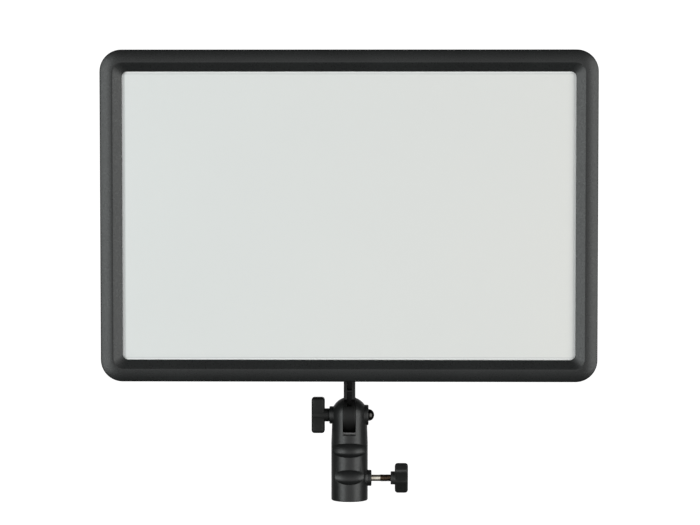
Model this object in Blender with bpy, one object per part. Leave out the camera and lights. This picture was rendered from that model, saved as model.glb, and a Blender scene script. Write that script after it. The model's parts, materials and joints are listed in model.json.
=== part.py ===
"""LED panel light on a tilting light-stand adapter, as separate solid pieces.

The scene is in metres with +Z up. The origin is the centre of the stand socket's mouth,
the light shines towards -Y, and the tilt axis runs along X. Every length in the
constants and in the functions is in millimetres; new_object() turns it into metres.
"""

import math

import bmesh
import bpy
from mathutils import Matrix, Vector

MM = 0.001
GAP = 0.3  # left between pieces that touch
X, Y, Z = Vector((1, 0, 0)), Vector((0, 1, 0)), Vector((0, 0, 1))

# Panel: casing, light stack
PANEL_WIDTH = 340
PANEL_HEIGHT = 227
PANEL_CORNER = 15
PANEL_CENTRE_Z = 199
CORNER_STEPS = 6
FRAME_CREASE_Y = -33
FRAME_EDGE_Y = -30.8
FRAME_BACK_Y = -22
FRAME_CREASE_INSET = 8.7
FRAME_LIP_INSET = 15
FRAME_LIP_Y = -30
FRAME_LIP_THICKNESS = 1
FRAME_WALL = 2.2
COVER_FRONT_Y = FRAME_BACK_Y + GAP
COVER_BACK_Y = -9
COVER_WALL = 2
COVER_INSIDE_Y = COVER_BACK_Y - COVER_WALL
COVER_ROUNDING = 3
STACK_HALF_HEIGHT = 103
DIFFUSER_HALF_WIDTH = 166.5
DIFFUSER_THICKNESS = 1.8
DIFFUSER_FRONT_Y = FRAME_LIP_Y + FRAME_LIP_THICKNESS + GAP
GUIDE_HALF_WIDTH = 160
GUIDE_THICKNESS = 3
GUIDE_FRONT_Y = DIFFUSER_FRONT_Y + DIFFUSER_THICKNESS + GAP
REFLECTOR_THICKNESS = 0.4
REFLECTOR_FRONT_Y = GUIDE_FRONT_Y + GUIDE_THICKNESS + GAP
SPREADER_THICKNESS = 1.2
SPREADER_FRONT_Y = REFLECTOR_FRONT_Y + REFLECTOR_THICKNESS + GAP
SPREADER_HALF_WIDTH = 165.8
STRIP_INNER_X = 163.2
STRIP_BOARD = 1
STRIP_HALF_LENGTH = 98
STRIP_TAIL_BACK_Y = -18.5
STRIP_TAIL_HALF_HEIGHT = 5
LED_PITCH = 8
LED_COUNT = 24
LED_SIZE = Vector((1.5, 2.8, 3.5))
SCREW_STEPS = 10
HOLE_STEPS = 8
SCREW_COLUMNS = (-120, -45, 45, 120)
SCREW_ROW = 107.8
VENT_COUNT = 8
VENT_PITCH = 6
VENT_SIZE = Vector((42, 0, 2.4))
VENT_CENTRE = (122, PANEL_CENTRE_Z)
LEAD_HOLE_HALF_WIDTH = 9
LEAD_HOLE_HALF_HEIGHT = 7
LEAD_RADIUS = 0.9
LEAD_Z = 200

# Control pod on the back
POD_HALF_WIDTH = 84
POD_HALF_HEIGHT = 52
POD_CENTRE_Z = 197
POD_CORNER = 8
POD_FRONT_Y = COVER_BACK_Y + GAP
POD_BACK_Y = 9
POD_WALL = 2
POD_INSIDE_Y = POD_BACK_Y - POD_WALL
POD_BOSS_X = 76
POD_BOSS_Z = 44
DRIVER_Y = -4.6
DRIVER_HALF_WIDTH = 26
DRIVER_Z = (151, 205)
COIL_X, COIL_Z, COIL_HEIGHT = (-16, -3), (169, 182), 6
CAPACITOR_X, CAPACITOR_Z = (6, 15), 177
CAPACITOR_RADIUS, CAPACITOR_HEIGHT = 3.2, 8
TRANSISTOR_X, TRANSISTOR_Z = (-12, -2, 8), (189, 196)
TRANSISTOR_WIDTH, TRANSISTOR_HEIGHT = 6, 2.4
PLUG_HALF_WIDTH, PLUG_Z, PLUG_HEIGHT = 9, (154, 161), 4
POST_X = 22
POST_Z = (155, 201)
BOARD_THICKNESS = 1.6
BOARD_Y = 0.9
DISPLAY_BOARD = (30, 71, 177, 241)  # low and high x, low and high z
DIAL_BOARD = (-71, -30, 173, 237)
DISPLAY_CENTRE = (50, 219)
DISPLAY_HALF = (19, 13)
WINDOW_HALF = (17.7, 10.7)
WINDOW_THICKNESS = 1.2
BUTTON_CENTRE = (50, 191)
BUTTON_RADIUS = 4
BUTTON_TRAVEL = 0.8
BRIGHTNESS_CENTRE = (-51, 219)
COLOUR_CENTRE = (-51, 189)
DIAL_RADIUS = 10
DIAL_FRONT_Y = 9.6
DIAL_BACK_Y = 19
DIAL_STEPS = 24
SWITCH_CENTRE = (50, 162)
SWITCH_HALF = (6.2, 9.4)
SWITCH_BEZEL_HALF = (7.7, 10.9)
SWITCH_CAVITY_HALF = (5.3, 8.5)
SWITCH_PIVOT_Y = 8
SWITCH_TILT = 10
JACK_X, JACK_Y = -50, -1
JACK_BORE = 2.75

# Battery plate
PLATE_FRONT_Y = POD_BACK_Y + GAP
PLATE_FACE_Y = 12.3
PLATE_HALF_WIDTH = 20.5
PLATE_Z = (153, 229)
RAIL_BACK_Y = 16.5
LATCH_Z = 219
LATCH_FRONT_Y = 4.6
LATCH_BACK_Y = 14.6
SPRING_RADIUS = 3
SPRING_WIRE = 0.35
SPRING_TURNS = 4.5
SPRING_STEPS = 10
CONTACT_X = (-7, 0, 7)
CONTACT_Z = 159

# Arm that joins the panel to the adapter
AXIS_Z = 59.4
TONGUE_WIDTH = 8.4
ARM_WIDTH = 7.9
TONGUE_RADIUS = 12.4
ARM_FRONT_Y = -5
ARM_BACK_Y = 8
ARM_SHOULDER = 16  # above the axis, where the arm starts to taper
ARM_RECESS_HALF_WIDTH = 1.7
ARM_RECESS_DEPTH = 7
ARM_RECESS_Z = (66.4, 91)
ARM_RIB_Z = (76, 77)
FOOT_HALF_WIDTH = 22
FOOT_Z = (91, 131)
FOOT_BACK_Y = -4.7
FOOT_SCREW_X = 15
FOOT_SCREW_Z = (102, 124)
BACKING_PLATE_HALF_WIDTH = 24
BACKING_PLATE_Z = (96.5, 130)
BACKING_PLATE_THICKNESS = 2

# Stand adapter
ADAPTER_RADIUS = 12.7
ADAPTER_WAIST_RADIUS = 12.25
ADAPTER_ROUNDING = 0.8
ADAPTER_STEPS = 40
SOCKET_RADIUS = 8.1
SOCKET_DEPTH = 30
SLOT_HALF_WIDTH = 4.5
SLOT_FLOOR_Z = 46.2
SCALLOPS = ((35.9, 70, 5), (17.2, 53, 5.2))  # height, half angle in degrees, half height
SCALLOP_DEPTH = 2.6
SCALLOP_REACH = 1.3  # how far the cutter goes past the scallop's edge
SCALLOP_DEEPEST = -0.3  # where the deepest line is, as a share of the half height
SCALLOP_STEPS = 7
LEFT_BOSS_END_X = -14
LEFT_BOSS_RADIUS = 6.1
RIGHT_BOSS_END_X = 13.2
RIGHT_BOSS_RADIUS = 7.15
BOLT_RADIUS = 2.5
BOLT_HOLE_RADIUS = 2.8
BOLT_HEAD_RADIUS = 4.1
BOLT_HEAD_HEIGHT = 3.7
BOLT_END_X = -22.6
LOCK_Z = 15.4
LOCK_BOSS_START_X = 9
LOCK_BOSS_END_X = 15.3
LOCK_BOSS_RADIUS = 5.6
LOCK_BOSS_FLARE = 0.8
BOSS_CHAMFER = 0.6
INSERT_RADIUS = 3.6
LOCK_TIP_X = 7
LOCK_SCREW_END_X = 38
KNOB_NECK_LENGTH = 2.9
KNOB_NECK_RADIUS = 4.6
KNOB_HEAD_LENGTH = 9.2
KNOB_HUB_RADIUS = 4.9
KNOB_HALF_SPAN = 12.5
KNOB_HALF_THICKNESS = 4.2
KNOB_EDGE = 1.8
TILT_KNOB_X = LEFT_BOSS_END_X - GAP
LOCK_KNOB_X = 28.6
LOCK_KNOB_TURN = 43


# ---------------------------------------------------------------- making meshes


# Screws: head radius, head height, shank radius, length
CASING_SCREW = (2.2, 1.7, 1.1, 10.5)
CASING_SCREW_Y = -16.6
ARM_SCREW = (2.8, 2, 1.5, 9.2)
ARM_SCREW_HOLE = 1.9

# Dials and their encoders
ENCODER_HALF_WIDTH = 6
ENCODER_NECK_RADIUS = 3.5
ENCODER_BORE_RADIUS = 2.4
SHAFT_RADIUS = 2
SHAFT_LENGTH = 12.7
SHAFT_CLEARANCE = 1.5
DIAL_BORE_RADIUS = 2.3
DIAL_BORE_DEPTH = 1.7
DIAL_HUB_RADIUS = 4.2
DIAL_INSIDE_RADIUS = 8.2
DIAL_TOP = 2.4
DIAL_EDGE = 0.8

# Power inlet
JACK_BODY_RADIUS = 4
JACK_FLANGE_RADIUS = 5.5
JACK_FLANGE = 1
JACK_LENGTH = 13
JACK_DEPTH = 10.5
JACK_PIN_RADIUS = 1

# Battery rails, latch and contacts
RAIL_OUTER_X = 20.5
RAIL_INNER_X = 18.3
RAIL_HOOK_X = 16.8
RAIL_HOOK = 1.5
RAIL_SHORT_OF_TOP = 12
WELL_HALF_WIDTH = 6.2
WELL_FRONT_Y = -3
WELL_WALL = 1.5
LATCH_HALF_WIDTH = 4.4
LATCH_STEP_Y = 9.9
LATCH_STOP_Y = 10.3
LATCH_TAB_HALF_WIDTH = 3.5
CONTACT_HALF_WIDTH = 0.5
CONTACT_HALF_HEIGHT = 3.5
CONTACT_FRONT_Y = 4.5


def clear_scene():
    for obj in list(bpy.data.objects):
        bpy.data.objects.remove(obj)


def material(name, colour, roughness, metallic=0.0, alpha=1.0):
    made = bpy.data.materials.new(name)
    made.use_nodes = True
    made.diffuse_color = (*colour, alpha)
    shader = made.node_tree.nodes["Principled BSDF"]
    shader.inputs["Base Color"].default_value = (*colour, 1)
    shader.inputs["Roughness"].default_value = roughness
    shader.inputs["Metallic"].default_value = metallic
    shader.inputs["Alpha"].default_value = alpha
    return made


def new_object(name, bm, surface=None):
    """An object from a mesh in millimetres, which is freed."""
    bmesh.ops.recalc_face_normals(bm, faces=bm.faces)
    bm.transform(Matrix.Scale(MM, 4))
    mesh = bpy.data.meshes.new(name)
    bm.to_mesh(mesh)
    bm.free()
    mesh.shade_smooth()
    mesh.set_sharp_from_angle(angle=math.radians(32))
    if surface:
        mesh.materials.append(surface)
    obj = bpy.data.objects.new(name, mesh)
    bpy.context.collection.objects.link(obj)
    return obj


def boolean(target, bm, operation, label):
    """A live Boolean on target, with its tool kept as a hidden wire guide."""
    tool = new_object(f"{target.name}.{label}", bm)
    tool.hide_render = True
    tool.display_type = "WIRE"
    tool.parent = target
    modifier = target.modifiers.new(label, "BOOLEAN")
    modifier.operation = operation
    modifier.solver = "EXACT"
    modifier.object = tool


def cut(target, bm, label):
    boolean(target, bm, "DIFFERENCE", label)


def join(target, bm, label):
    boolean(target, bm, "UNION", label)


def add_box(bm, low, high):
    low, high = Vector(low), Vector(high)
    size = Matrix.Diagonal((*(high - low), 1))
    bmesh.ops.create_cube(bm, size=1, matrix=Matrix.Translation((low + high) / 2) @ size)


def add_prism(bm, outline, low_x, high_x):
    """A (y, z) outline pushed along X."""
    add_loft(bm, [[Vector((x, y, z)) for y, z in outline] for x in (low_x, high_x)])


def add_loft(bm, rings, closed=False):
    """A skin over rings of equally many points, with end caps or joined end to end."""
    rows = [[bm.verts.new(point) for point in ring] for ring in rings]
    pairs = list(zip(rows, rows[1:] + rows[:1])) if closed else list(zip(rows, rows[1:]))
    for first, second in pairs:
        for i in range(len(first)):
            j = (i + 1) % len(first)
            bm.faces.new((first[i], first[j], second[j], second[i]))
    if not closed:
        bm.faces.new(rows[0])
        bm.faces.new(rows[-1])


def add_turned(bm, profile, origin, axis, segments=24):
    """A closed profile of (radius, height) points turned about an axis; radius 0 is on it."""
    side = Z if abs(axis.dot(Z)) < 0.5 else X
    across = side.cross(axis)
    rows = []
    for radius, height in profile:
        centre = Vector(origin) + axis * height
        if radius == 0:
            rows.append([bm.verts.new(centre)])
            continue
        turns = [2 * math.pi * i / segments for i in range(segments)]
        rows.append(
            [bm.verts.new(centre + radius * (side * math.cos(a) + across * math.sin(a))) for a in turns]
        )
    for first, second in zip(rows, rows[1:] + rows[:1]):
        for i in range(segments):
            j = (i + 1) % segments
            corners = [first[i % len(first)], first[j % len(first)]]
            corners += [second[j % len(second)], second[i % len(second)]]
            corners = list(dict.fromkeys(corners))
            if len(corners) > 2:
                bm.faces.new(corners)


def add_rod(bm, start, axis, length, radius, segments=24):
    add_turned(bm, [(0, 0), (radius, 0), (radius, length), (0, length)], start, axis, segments)


def rounded_rectangle(half_width, half_height, radius, steps=CORNER_STEPS):
    """Points (x, z) anticlockwise round the centre."""
    points = []
    for corner in range(4):
        sign_x = (1, -1, -1, 1)[corner]
        sign_z = (1, 1, -1, -1)[corner]
        for step in range(steps + 1):
            angle = math.pi / 2 * (corner + step / steps)
            x = sign_x * (half_width - radius) + radius * math.cos(angle)
            z = sign_z * (half_height - radius) + radius * math.sin(angle)
            points.append((x, z))
    return points


def ring_at(centre_z, half_width, half_height, radius, y):
    outline = rounded_rectangle(half_width, half_height, radius)
    return [Vector((x, y, centre_z + z)) for x, z in outline]


def panel_ring(inset, y, radius):
    return ring_at(PANEL_CENTRE_Z, PANEL_WIDTH / 2 - inset, PANEL_HEIGHT / 2 - inset, radius, y)


def pod_ring(inset, y, radius):
    return ring_at(POD_CENTRE_Z, POD_HALF_WIDTH - inset, POD_HALF_HEIGHT - inset, radius, y)


def slab(name, half_width, half_height, front_y, thickness, surface, radius=3):
    """A flat sheet of the light stack with rounded corners."""
    bm = bmesh.new()
    ends = (front_y, front_y + thickness)
    add_loft(bm, [ring_at(PANEL_CENTRE_Z, half_width, half_height, radius, y) for y in ends])
    return new_object(name, bm, surface)


def screw(name, point, axis, head_radius, head_height, shank_radius, length, surface):
    """A pan-head screw: point is the middle of the head's underside, axis runs along the shank."""
    bm = bmesh.new()
    profile = [(0, -head_height), (0.6 * head_radius, -head_height)]
    profile += [(head_radius, -0.55 * head_height), (head_radius, 0), (shank_radius, 0)]
    profile += [(shank_radius, length - shank_radius), (0, length)]
    add_turned(bm, profile, point, axis, SCREW_STEPS)
    return new_object(name, bm, surface)


# ---------------------------------------------------------------- panel casing


def casing_screw_places():
    return [(x, PANEL_CENTRE_Z + side * SCREW_ROW) for side in (1, -1) for x in SCREW_COLUMNS]


def front_frame(surface):
    """The rim round the diffuser: convex outer face, crease, then a bevel down to the lip."""
    section = [(0, FRAME_BACK_Y, PANEL_CORNER), (0, FRAME_EDGE_Y + 0.7, PANEL_CORNER)]
    for step in range(4):
        share = step / 3
        inset = 0.5 + share * (FRAME_CREASE_INSET - 0.5)
        y = FRAME_EDGE_Y + (FRAME_CREASE_Y - FRAME_EDGE_Y) * math.sin(share * math.pi / 2)
        section.append((inset, y, PANEL_CORNER - 0.5 - 7 * share))
    lip_back = FRAME_LIP_Y + FRAME_LIP_THICKNESS
    section += [(FRAME_LIP_INSET, FRAME_LIP_Y, 4), (FRAME_LIP_INSET, lip_back, 4)]
    inner_corner = PANEL_CORNER - FRAME_WALL
    section += [(FRAME_WALL, lip_back, inner_corner), (FRAME_WALL, FRAME_BACK_Y, inner_corner)]
    bm = bmesh.new()
    add_loft(bm, [panel_ring(*place) for place in section], closed=True)
    frame = new_object("front_frame", bm, surface)
    bosses = bmesh.new()
    pilots = bmesh.new()
    for x, z in casing_screw_places():
        add_rod(bosses, (x, lip_back - 0.6, z), Y, FRAME_BACK_Y - 0.2 - lip_back + 0.6, 2.7, SCREW_STEPS)
        add_rod(pilots, (x, lip_back + 1, z), Y, 8, 1.4, HOLE_STEPS)
    join(frame, bosses, "bosses")
    cut(frame, pilots, "pilots")


def rear_cover(surface):
    """The back shell, open to the front, with its screw bosses, vents and through holes."""
    rounding = COVER_ROUNDING
    inner_corner = PANEL_CORNER - COVER_WALL
    rings = [(COVER_WALL + 2, COVER_INSIDE_Y, inner_corner - 2)]
    rings += [(COVER_WALL, COVER_INSIDE_Y - 2, inner_corner), (COVER_WALL, COVER_FRONT_Y, inner_corner)]
    rings += [(0, COVER_FRONT_Y, PANEL_CORNER)]
    for step in range(4):
        angle = math.pi / 2 * step / 3
        inset = rounding * (1 - math.cos(angle))
        rings.append((inset, COVER_BACK_Y - rounding * (1 - math.sin(angle)), PANEL_CORNER - inset))
    bm = bmesh.new()
    add_loft(bm, [panel_ring(*place) for place in rings])
    cover = new_object("rear_cover", bm, surface)

    bosses = bmesh.new()
    holes = bmesh.new()
    counterbores = bmesh.new()
    for x, z in casing_screw_places():
        add_rod(bosses, (x, COVER_FRONT_Y + 0.2, z), Y, COVER_INSIDE_Y + 0.5 - COVER_FRONT_Y, 4, SCREW_STEPS)
        add_rod(holes, (x, COVER_FRONT_Y - 1, z), Y, 8, 1.4, HOLE_STEPS)
        add_rod(counterbores, (x, -16.9, z), Y, 9, 2.6, 12)
    for x in (-FOOT_SCREW_X, FOOT_SCREW_X):
        for z in FOOT_SCREW_Z:
            add_rod(holes, (x, COVER_INSIDE_Y - 1, z), Y, 4, 1.9, SCREW_STEPS)
    for x, z in pod_boss_places():
        add_rod(holes, (x, COVER_INSIDE_Y - 1, z), Y, 4, 1.4, HOLE_STEPS)
    half = Vector((LEAD_HOLE_HALF_WIDTH, 3, LEAD_HOLE_HALF_HEIGHT))
    middle = Vector((0, (COVER_BACK_Y + COVER_INSIDE_Y) / 2, LEAD_Z))
    add_box(holes, middle - half, middle + half)
    join(cover, bosses, "bosses")
    cut(cover, counterbores, "counterbores")
    cut(cover, holes, "holes")
    cut(cover, vents(), "vents")


def vents():
    bm = bmesh.new()
    for side in (-1, 1):
        for row in range(VENT_COUNT):
            z = VENT_CENTRE[1] + (row - (VENT_COUNT - 1) / 2) * VENT_PITCH
            middle = Vector((side * VENT_CENTRE[0], COVER_BACK_Y, z))
            half = VENT_SIZE / 2 + Vector((0, 4, 0))
            add_box(bm, middle - half, middle + half)
    return bm


def casing_screws(surface):
    for number, (x, z) in enumerate(casing_screw_places(), 1):
        screw(f"casing_screw_{number}", (x, CASING_SCREW_Y, z), -Y, *CASING_SCREW, surface)


# ---------------------------------------------------------------- light stack


def heat_spreader(surface):
    """The aluminium back plate, with a flange down each side that holds a LED strip."""
    half_height = STACK_HALF_HEIGHT
    bm = bmesh.new()
    low = (-SPREADER_HALF_WIDTH, SPREADER_FRONT_Y, PANEL_CENTRE_Z - half_height)
    high = (SPREADER_HALF_WIDTH, SPREADER_FRONT_Y + SPREADER_THICKNESS, PANEL_CENTRE_Z + half_height)
    add_box(bm, low, high)
    plate = new_object("heat_spreader", bm, surface)
    flanges = bmesh.new()
    notches = bmesh.new()
    strip_outer = STRIP_INNER_X + STRIP_BOARD
    for side in (-1, 1):
        ends = sorted((side * (strip_outer + GAP), side * SPREADER_HALF_WIDTH))
        z = (PANEL_CENTRE_Z - half_height + 4, PANEL_CENTRE_Z + half_height - 4)
        add_box(flanges, (ends[0], GUIDE_FRONT_Y, z[0]), (ends[1], SPREADER_FRONT_Y + 0.6, z[1]))
        ends = sorted((side * (STRIP_INNER_X - 0.8), side * (strip_outer + GAP)))
        reach = STRIP_TAIL_HALF_HEIGHT + 0.5
        low = (ends[0], SPREADER_FRONT_Y - 1, PANEL_CENTRE_Z - reach)
        high = (ends[1], SPREADER_FRONT_Y + SPREADER_THICKNESS + 1, PANEL_CENTRE_Z + reach)
        add_box(notches, low, high)
    join(plate, flanges, "flanges")
    cut(plate, notches, "notches")


def led_strip(name, side, surface):
    """A narrow board on edge with a row of LED packages facing the light guide."""
    inner, outer = STRIP_INNER_X, STRIP_INNER_X + STRIP_BOARD
    back_y = SPREADER_FRONT_Y - GAP
    board = bmesh.new()
    ends = sorted((side * inner, side * outer))
    z = (PANEL_CENTRE_Z - STRIP_HALF_LENGTH, PANEL_CENTRE_Z + STRIP_HALF_LENGTH)
    add_box(board, (ends[0], GUIDE_FRONT_Y, z[0]), (ends[1], back_y, z[1]))
    strip = new_object(name, board, surface)
    tail = bmesh.new()
    z = (PANEL_CENTRE_Z - STRIP_TAIL_HALF_HEIGHT, PANEL_CENTRE_Z + STRIP_TAIL_HALF_HEIGHT)
    add_box(tail, (ends[0], back_y - 1, z[0]), (ends[1], STRIP_TAIL_BACK_Y, z[1]))
    join(strip, tail, "tail")
    packages = bmesh.new()
    guide_middle = GUIDE_FRONT_Y + GUIDE_THICKNESS / 2
    for number in range(LED_COUNT):
        z = PANEL_CENTRE_Z + (number - (LED_COUNT - 1) / 2) * LED_PITCH
        middle = Vector((side * (inner + 0.2 - LED_SIZE.x / 2), guide_middle, z))
        add_box(packages, middle - LED_SIZE / 2, middle + LED_SIZE / 2)
    join(strip, packages, "packages")


def smooth_path(points, steps):
    """Points along a Catmull-Rom curve through the given ones."""
    points = [Vector(point) for point in points]
    padded = [2 * points[0] - points[1], *points, 2 * points[-1] - points[-2]]
    path = []
    for i in range(1, len(padded) - 2):
        before, start, end, after = padded[i - 1 : i + 3]
        for step in range(steps):
            t = step / steps
            bend = (2 * before - 5 * start + 4 * end - after) * t * t
            twist = (3 * start - before - 3 * end + after) * t * t * t
            path.append((2 * start + (end - before) * t + bend + twist) / 2)
    path.append(points[-1])
    return path


def tube(name, path, radius, resolution, surface):
    """A round tube along the path, as a curve with a bevel and filled caps."""
    curve = bpy.data.curves.new(name, "CURVE")
    curve.dimensions = "3D"
    curve.bevel_depth = radius * MM
    curve.bevel_resolution = resolution
    curve.use_fill_caps = True
    spline = curve.splines.new("POLY")
    spline.points.add(len(path) - 1)
    for point, place in zip(spline.points, path):
        point.co = (*(place * MM), 1)
    curve.materials.append(surface)
    obj = bpy.data.objects.new(name, curve)
    bpy.context.collection.objects.link(obj)
    return obj


def led_lead(name, side, surface):
    """The pair of wires from a strip's tail, through the cover, to the driver board."""
    start_x = STRIP_INNER_X - GAP
    tail_y = STRIP_TAIL_BACK_Y - 1.1
    route = [(start_x, tail_y, LEAD_Z), (150, -17, LEAD_Z), (60, -16, LEAD_Z), (14, -16, LEAD_Z)]
    route += [(6, -13, LEAD_Z), (6, -9, LEAD_Z), (6, DRIVER_Y - GAP, LEAD_Z)]
    tube(name, smooth_path([(side * x, y, z) for x, y, z in route], 4), LEAD_RADIUS, 0, surface)


# ---------------------------------------------------------------- control pod


def pod_boss_places():
    return [(x, POD_CENTRE_Z + z) for x in (-POD_BOSS_X, POD_BOSS_X) for z in (-POD_BOSS_Z, POD_BOSS_Z)]


def control_housing(surface):
    """The pod's shell, open towards the rear cover."""
    corner = POD_CORNER - POD_WALL
    rings = [(POD_WALL, POD_INSIDE_Y, corner), (POD_WALL, POD_FRONT_Y, corner), (0, POD_FRONT_Y, POD_CORNER)]
    rings += [(0, POD_BACK_Y - 2, POD_CORNER), (0.6, POD_BACK_Y - 0.6, POD_CORNER - 0.6)]
    rings += [(2, POD_BACK_Y, POD_CORNER - 2)]
    bm = bmesh.new()
    add_loft(bm, [pod_ring(*place) for place in rings])
    pod = new_object("control_housing", bm, surface)

    posts = bmesh.new()
    for x, z in pod_boss_places():
        add_rod(posts, (x, POD_FRONT_Y + GAP, z), Y, POD_INSIDE_Y + 0.5 - POD_FRONT_Y - GAP, 3.5, SCREW_STEPS)
    board_back = DRIVER_Y + BOARD_THICKNESS + GAP
    for x in (-POST_X, POST_X):
        for z in POST_Z:
            add_rod(posts, (x, board_back, z), Y, POD_INSIDE_Y + 0.5 - board_back, 2.2, HOLE_STEPS)
    join(pod, posts, "posts")

    holes = bmesh.new()
    for x, z in pod_boss_places():
        add_rod(holes, (x, POD_FRONT_Y - 1, z), Y, 11, 1.4, HOLE_STEPS)
    for x, z in (BRIGHTNESS_CENTRE, COLOUR_CENTRE):
        add_rod(holes, (x, POD_INSIDE_Y - 1, z), Y, 4, 3.9, 16)
    x, z = BUTTON_CENTRE
    add_rod(holes, (x, POD_INSIDE_Y - 1, z), Y, 4, BUTTON_RADIUS + GAP, 20)
    add_rod(holes, (JACK_X, JACK_Y, POD_CENTRE_Z - POD_HALF_HEIGHT - 1), Z, 4, 4.3)
    for (x, z), half_x, half_z in (
        (DISPLAY_CENTRE, 16, 9),
        (SWITCH_CENTRE, SWITCH_HALF[0] + GAP, SWITCH_HALF[1] + GAP),
        ((0, LATCH_Z), 6.6, 6.6),
        ((0, CONTACT_Z), 12, 5),
    ):
        add_box(holes, (x - half_x, POD_INSIDE_Y - 1, z - half_z), (x + half_x, POD_BACK_Y + 1, z + half_z))
    cut(pod, holes, "holes")
    seat = bmesh.new()
    x, z = DISPLAY_CENTRE
    half_x, half_z = WINDOW_HALF[0] + GAP, WINDOW_HALF[1] + GAP
    floor_y = POD_BACK_Y - WINDOW_THICKNESS - GAP
    add_box(seat, (x - half_x, floor_y, z - half_z), (x + half_x, POD_BACK_Y + 1, z + half_z))
    cut(pod, seat, "window_seat")


def housing_screws(surface):
    for number, (x, z) in enumerate(pod_boss_places(), 1):
        screw(f"housing_screw_{number}", (x, COVER_INSIDE_Y - GAP, z), Y, 2.2, 1.6, 1.1, 11, surface)


def driver_board(surface):
    """The LED driver: a board with its coil, capacitors and power transistors."""
    bm = bmesh.new()
    top = DRIVER_Y + BOARD_THICKNESS
    add_box(bm, (-DRIVER_HALF_WIDTH, DRIVER_Y, DRIVER_Z[0]), (DRIVER_HALF_WIDTH, top, DRIVER_Z[1]))
    board = new_object("driver_board", bm, surface)
    parts = bmesh.new()
    sunk = top - 0.5
    add_box(parts, (COIL_X[0], sunk, COIL_Z[0]), (COIL_X[1], top + COIL_HEIGHT, COIL_Z[1]))
    for x in CAPACITOR_X:
        add_rod(parts, (x, sunk, CAPACITOR_Z), Y, CAPACITOR_HEIGHT, CAPACITOR_RADIUS, 12)
    low_z, high_z = TRANSISTOR_Z
    for x in TRANSISTOR_X:
        add_box(parts, (x, sunk, low_z), (x + TRANSISTOR_WIDTH, top + TRANSISTOR_HEIGHT, high_z))
    add_box(parts, (-PLUG_HALF_WIDTH, sunk, PLUG_Z[0]), (PLUG_HALF_WIDTH, top + PLUG_HEIGHT, PLUG_Z[1]))
    join(board, parts, "parts")


def plain_board(name, low_x, high_x, low_z, high_z, surface):
    bm = bmesh.new()
    add_box(bm, (low_x, BOARD_Y, low_z), (high_x, BOARD_Y + BOARD_THICKNESS, high_z))
    return new_object(name, bm, surface)


def display(board_surface, module_surface, window_surface):
    x, z = DISPLAY_CENTRE
    plain_board("display_board", *DISPLAY_BOARD, board_surface)
    bm = bmesh.new()
    front = BOARD_Y + BOARD_THICKNESS + GAP
    half_x, half_z = DISPLAY_HALF
    add_box(bm, (x - half_x, front, z - half_z), (x + half_x, POD_INSIDE_Y - GAP, z + half_z))
    new_object("display_module", bm, module_surface)
    bm = bmesh.new()
    half_x, half_z = WINDOW_HALF
    add_box(bm, (x - half_x, POD_BACK_Y - WINDOW_THICKNESS, z - half_z), (x + half_x, POD_BACK_Y, z + half_z))
    new_object("display_window", bm, window_surface)


def mode_button(switch_surface, button_surface):
    """A round key whose flange sits behind the wall, over its little push switch."""
    x, z = BUTTON_CENTRE
    switch_y = BOARD_Y + BOARD_THICKNESS + GAP
    bm = bmesh.new()
    add_box(bm, (x - 3, switch_y, z - 3), (x + 3, switch_y + 1.2, z + 3))
    new_object("mode_switch", bm, switch_surface)
    start = switch_y + 1.2 + GAP / 2 + BUTTON_TRAVEL
    bm = bmesh.new()
    profile = [(0, 0), (5.2, 0), (5.2, 1.5), (BUTTON_RADIUS, 1.5), (BUTTON_RADIUS, 5.6)]
    profile += [(BUTTON_RADIUS - 0.4, 6), (0, 6.2)]
    add_turned(bm, profile, (x, start, z), Y, 20)
    return [new_object("mode_button", bm, button_surface)]


def dial(name, centre, case_surface, shaft_surface, dial_surface):
    """A rotary encoder behind the wall and the fluted dial on its shaft."""
    x, z = centre
    front = BOARD_Y + BOARD_THICKNESS + GAP
    bm = bmesh.new()
    half = ENCODER_HALF_WIDTH
    add_box(bm, (x - half, front, z - half), (x + half, POD_INSIDE_Y - GAP, z + half))
    encoder = new_object(f"{name}_encoder", bm, case_surface)
    neck = bmesh.new()
    add_rod(neck, (x, POD_INSIDE_Y - 1, z), Y, 5.5, ENCODER_NECK_RADIUS, 14)
    join(encoder, neck, "neck")
    bore = bmesh.new()
    add_rod(bore, (x, front + SHAFT_CLEARANCE - GAP, z), Y, 10, ENCODER_BORE_RADIUS, 12)
    cut(encoder, bore, "bore")

    bm = bmesh.new()
    radius, length = SHAFT_RADIUS, SHAFT_LENGTH
    profile = [(0, 0), (radius, 0), (radius, length - 0.4), (radius - 0.4, length), (0, length)]
    add_turned(bm, profile, (x, front + SHAFT_CLEARANCE, z), Y, 12)
    shaft = new_object(f"{name}_shaft", bm, shaft_surface)

    depth = DIAL_BACK_Y - DIAL_FRONT_Y
    bore_end, inside_end = depth - DIAL_BORE_DEPTH, depth - DIAL_TOP
    profile = [(0, depth), (0, bore_end), (DIAL_BORE_RADIUS, bore_end), (DIAL_BORE_RADIUS, 2.3)]
    profile += [(DIAL_HUB_RADIUS, 2.3), (DIAL_HUB_RADIUS, inside_end), (DIAL_INSIDE_RADIUS, inside_end)]
    profile += [(DIAL_INSIDE_RADIUS, 0), (DIAL_RADIUS, 0), (DIAL_RADIUS, depth - DIAL_EDGE)]
    profile.append((DIAL_RADIUS - DIAL_EDGE, depth))
    bm = bmesh.new()
    add_turned(bm, profile, (x, DIAL_FRONT_Y, z), Y, DIAL_STEPS)
    cap = new_object(f"{name}_dial", bm, dial_surface)
    return [shaft, cap]


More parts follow.
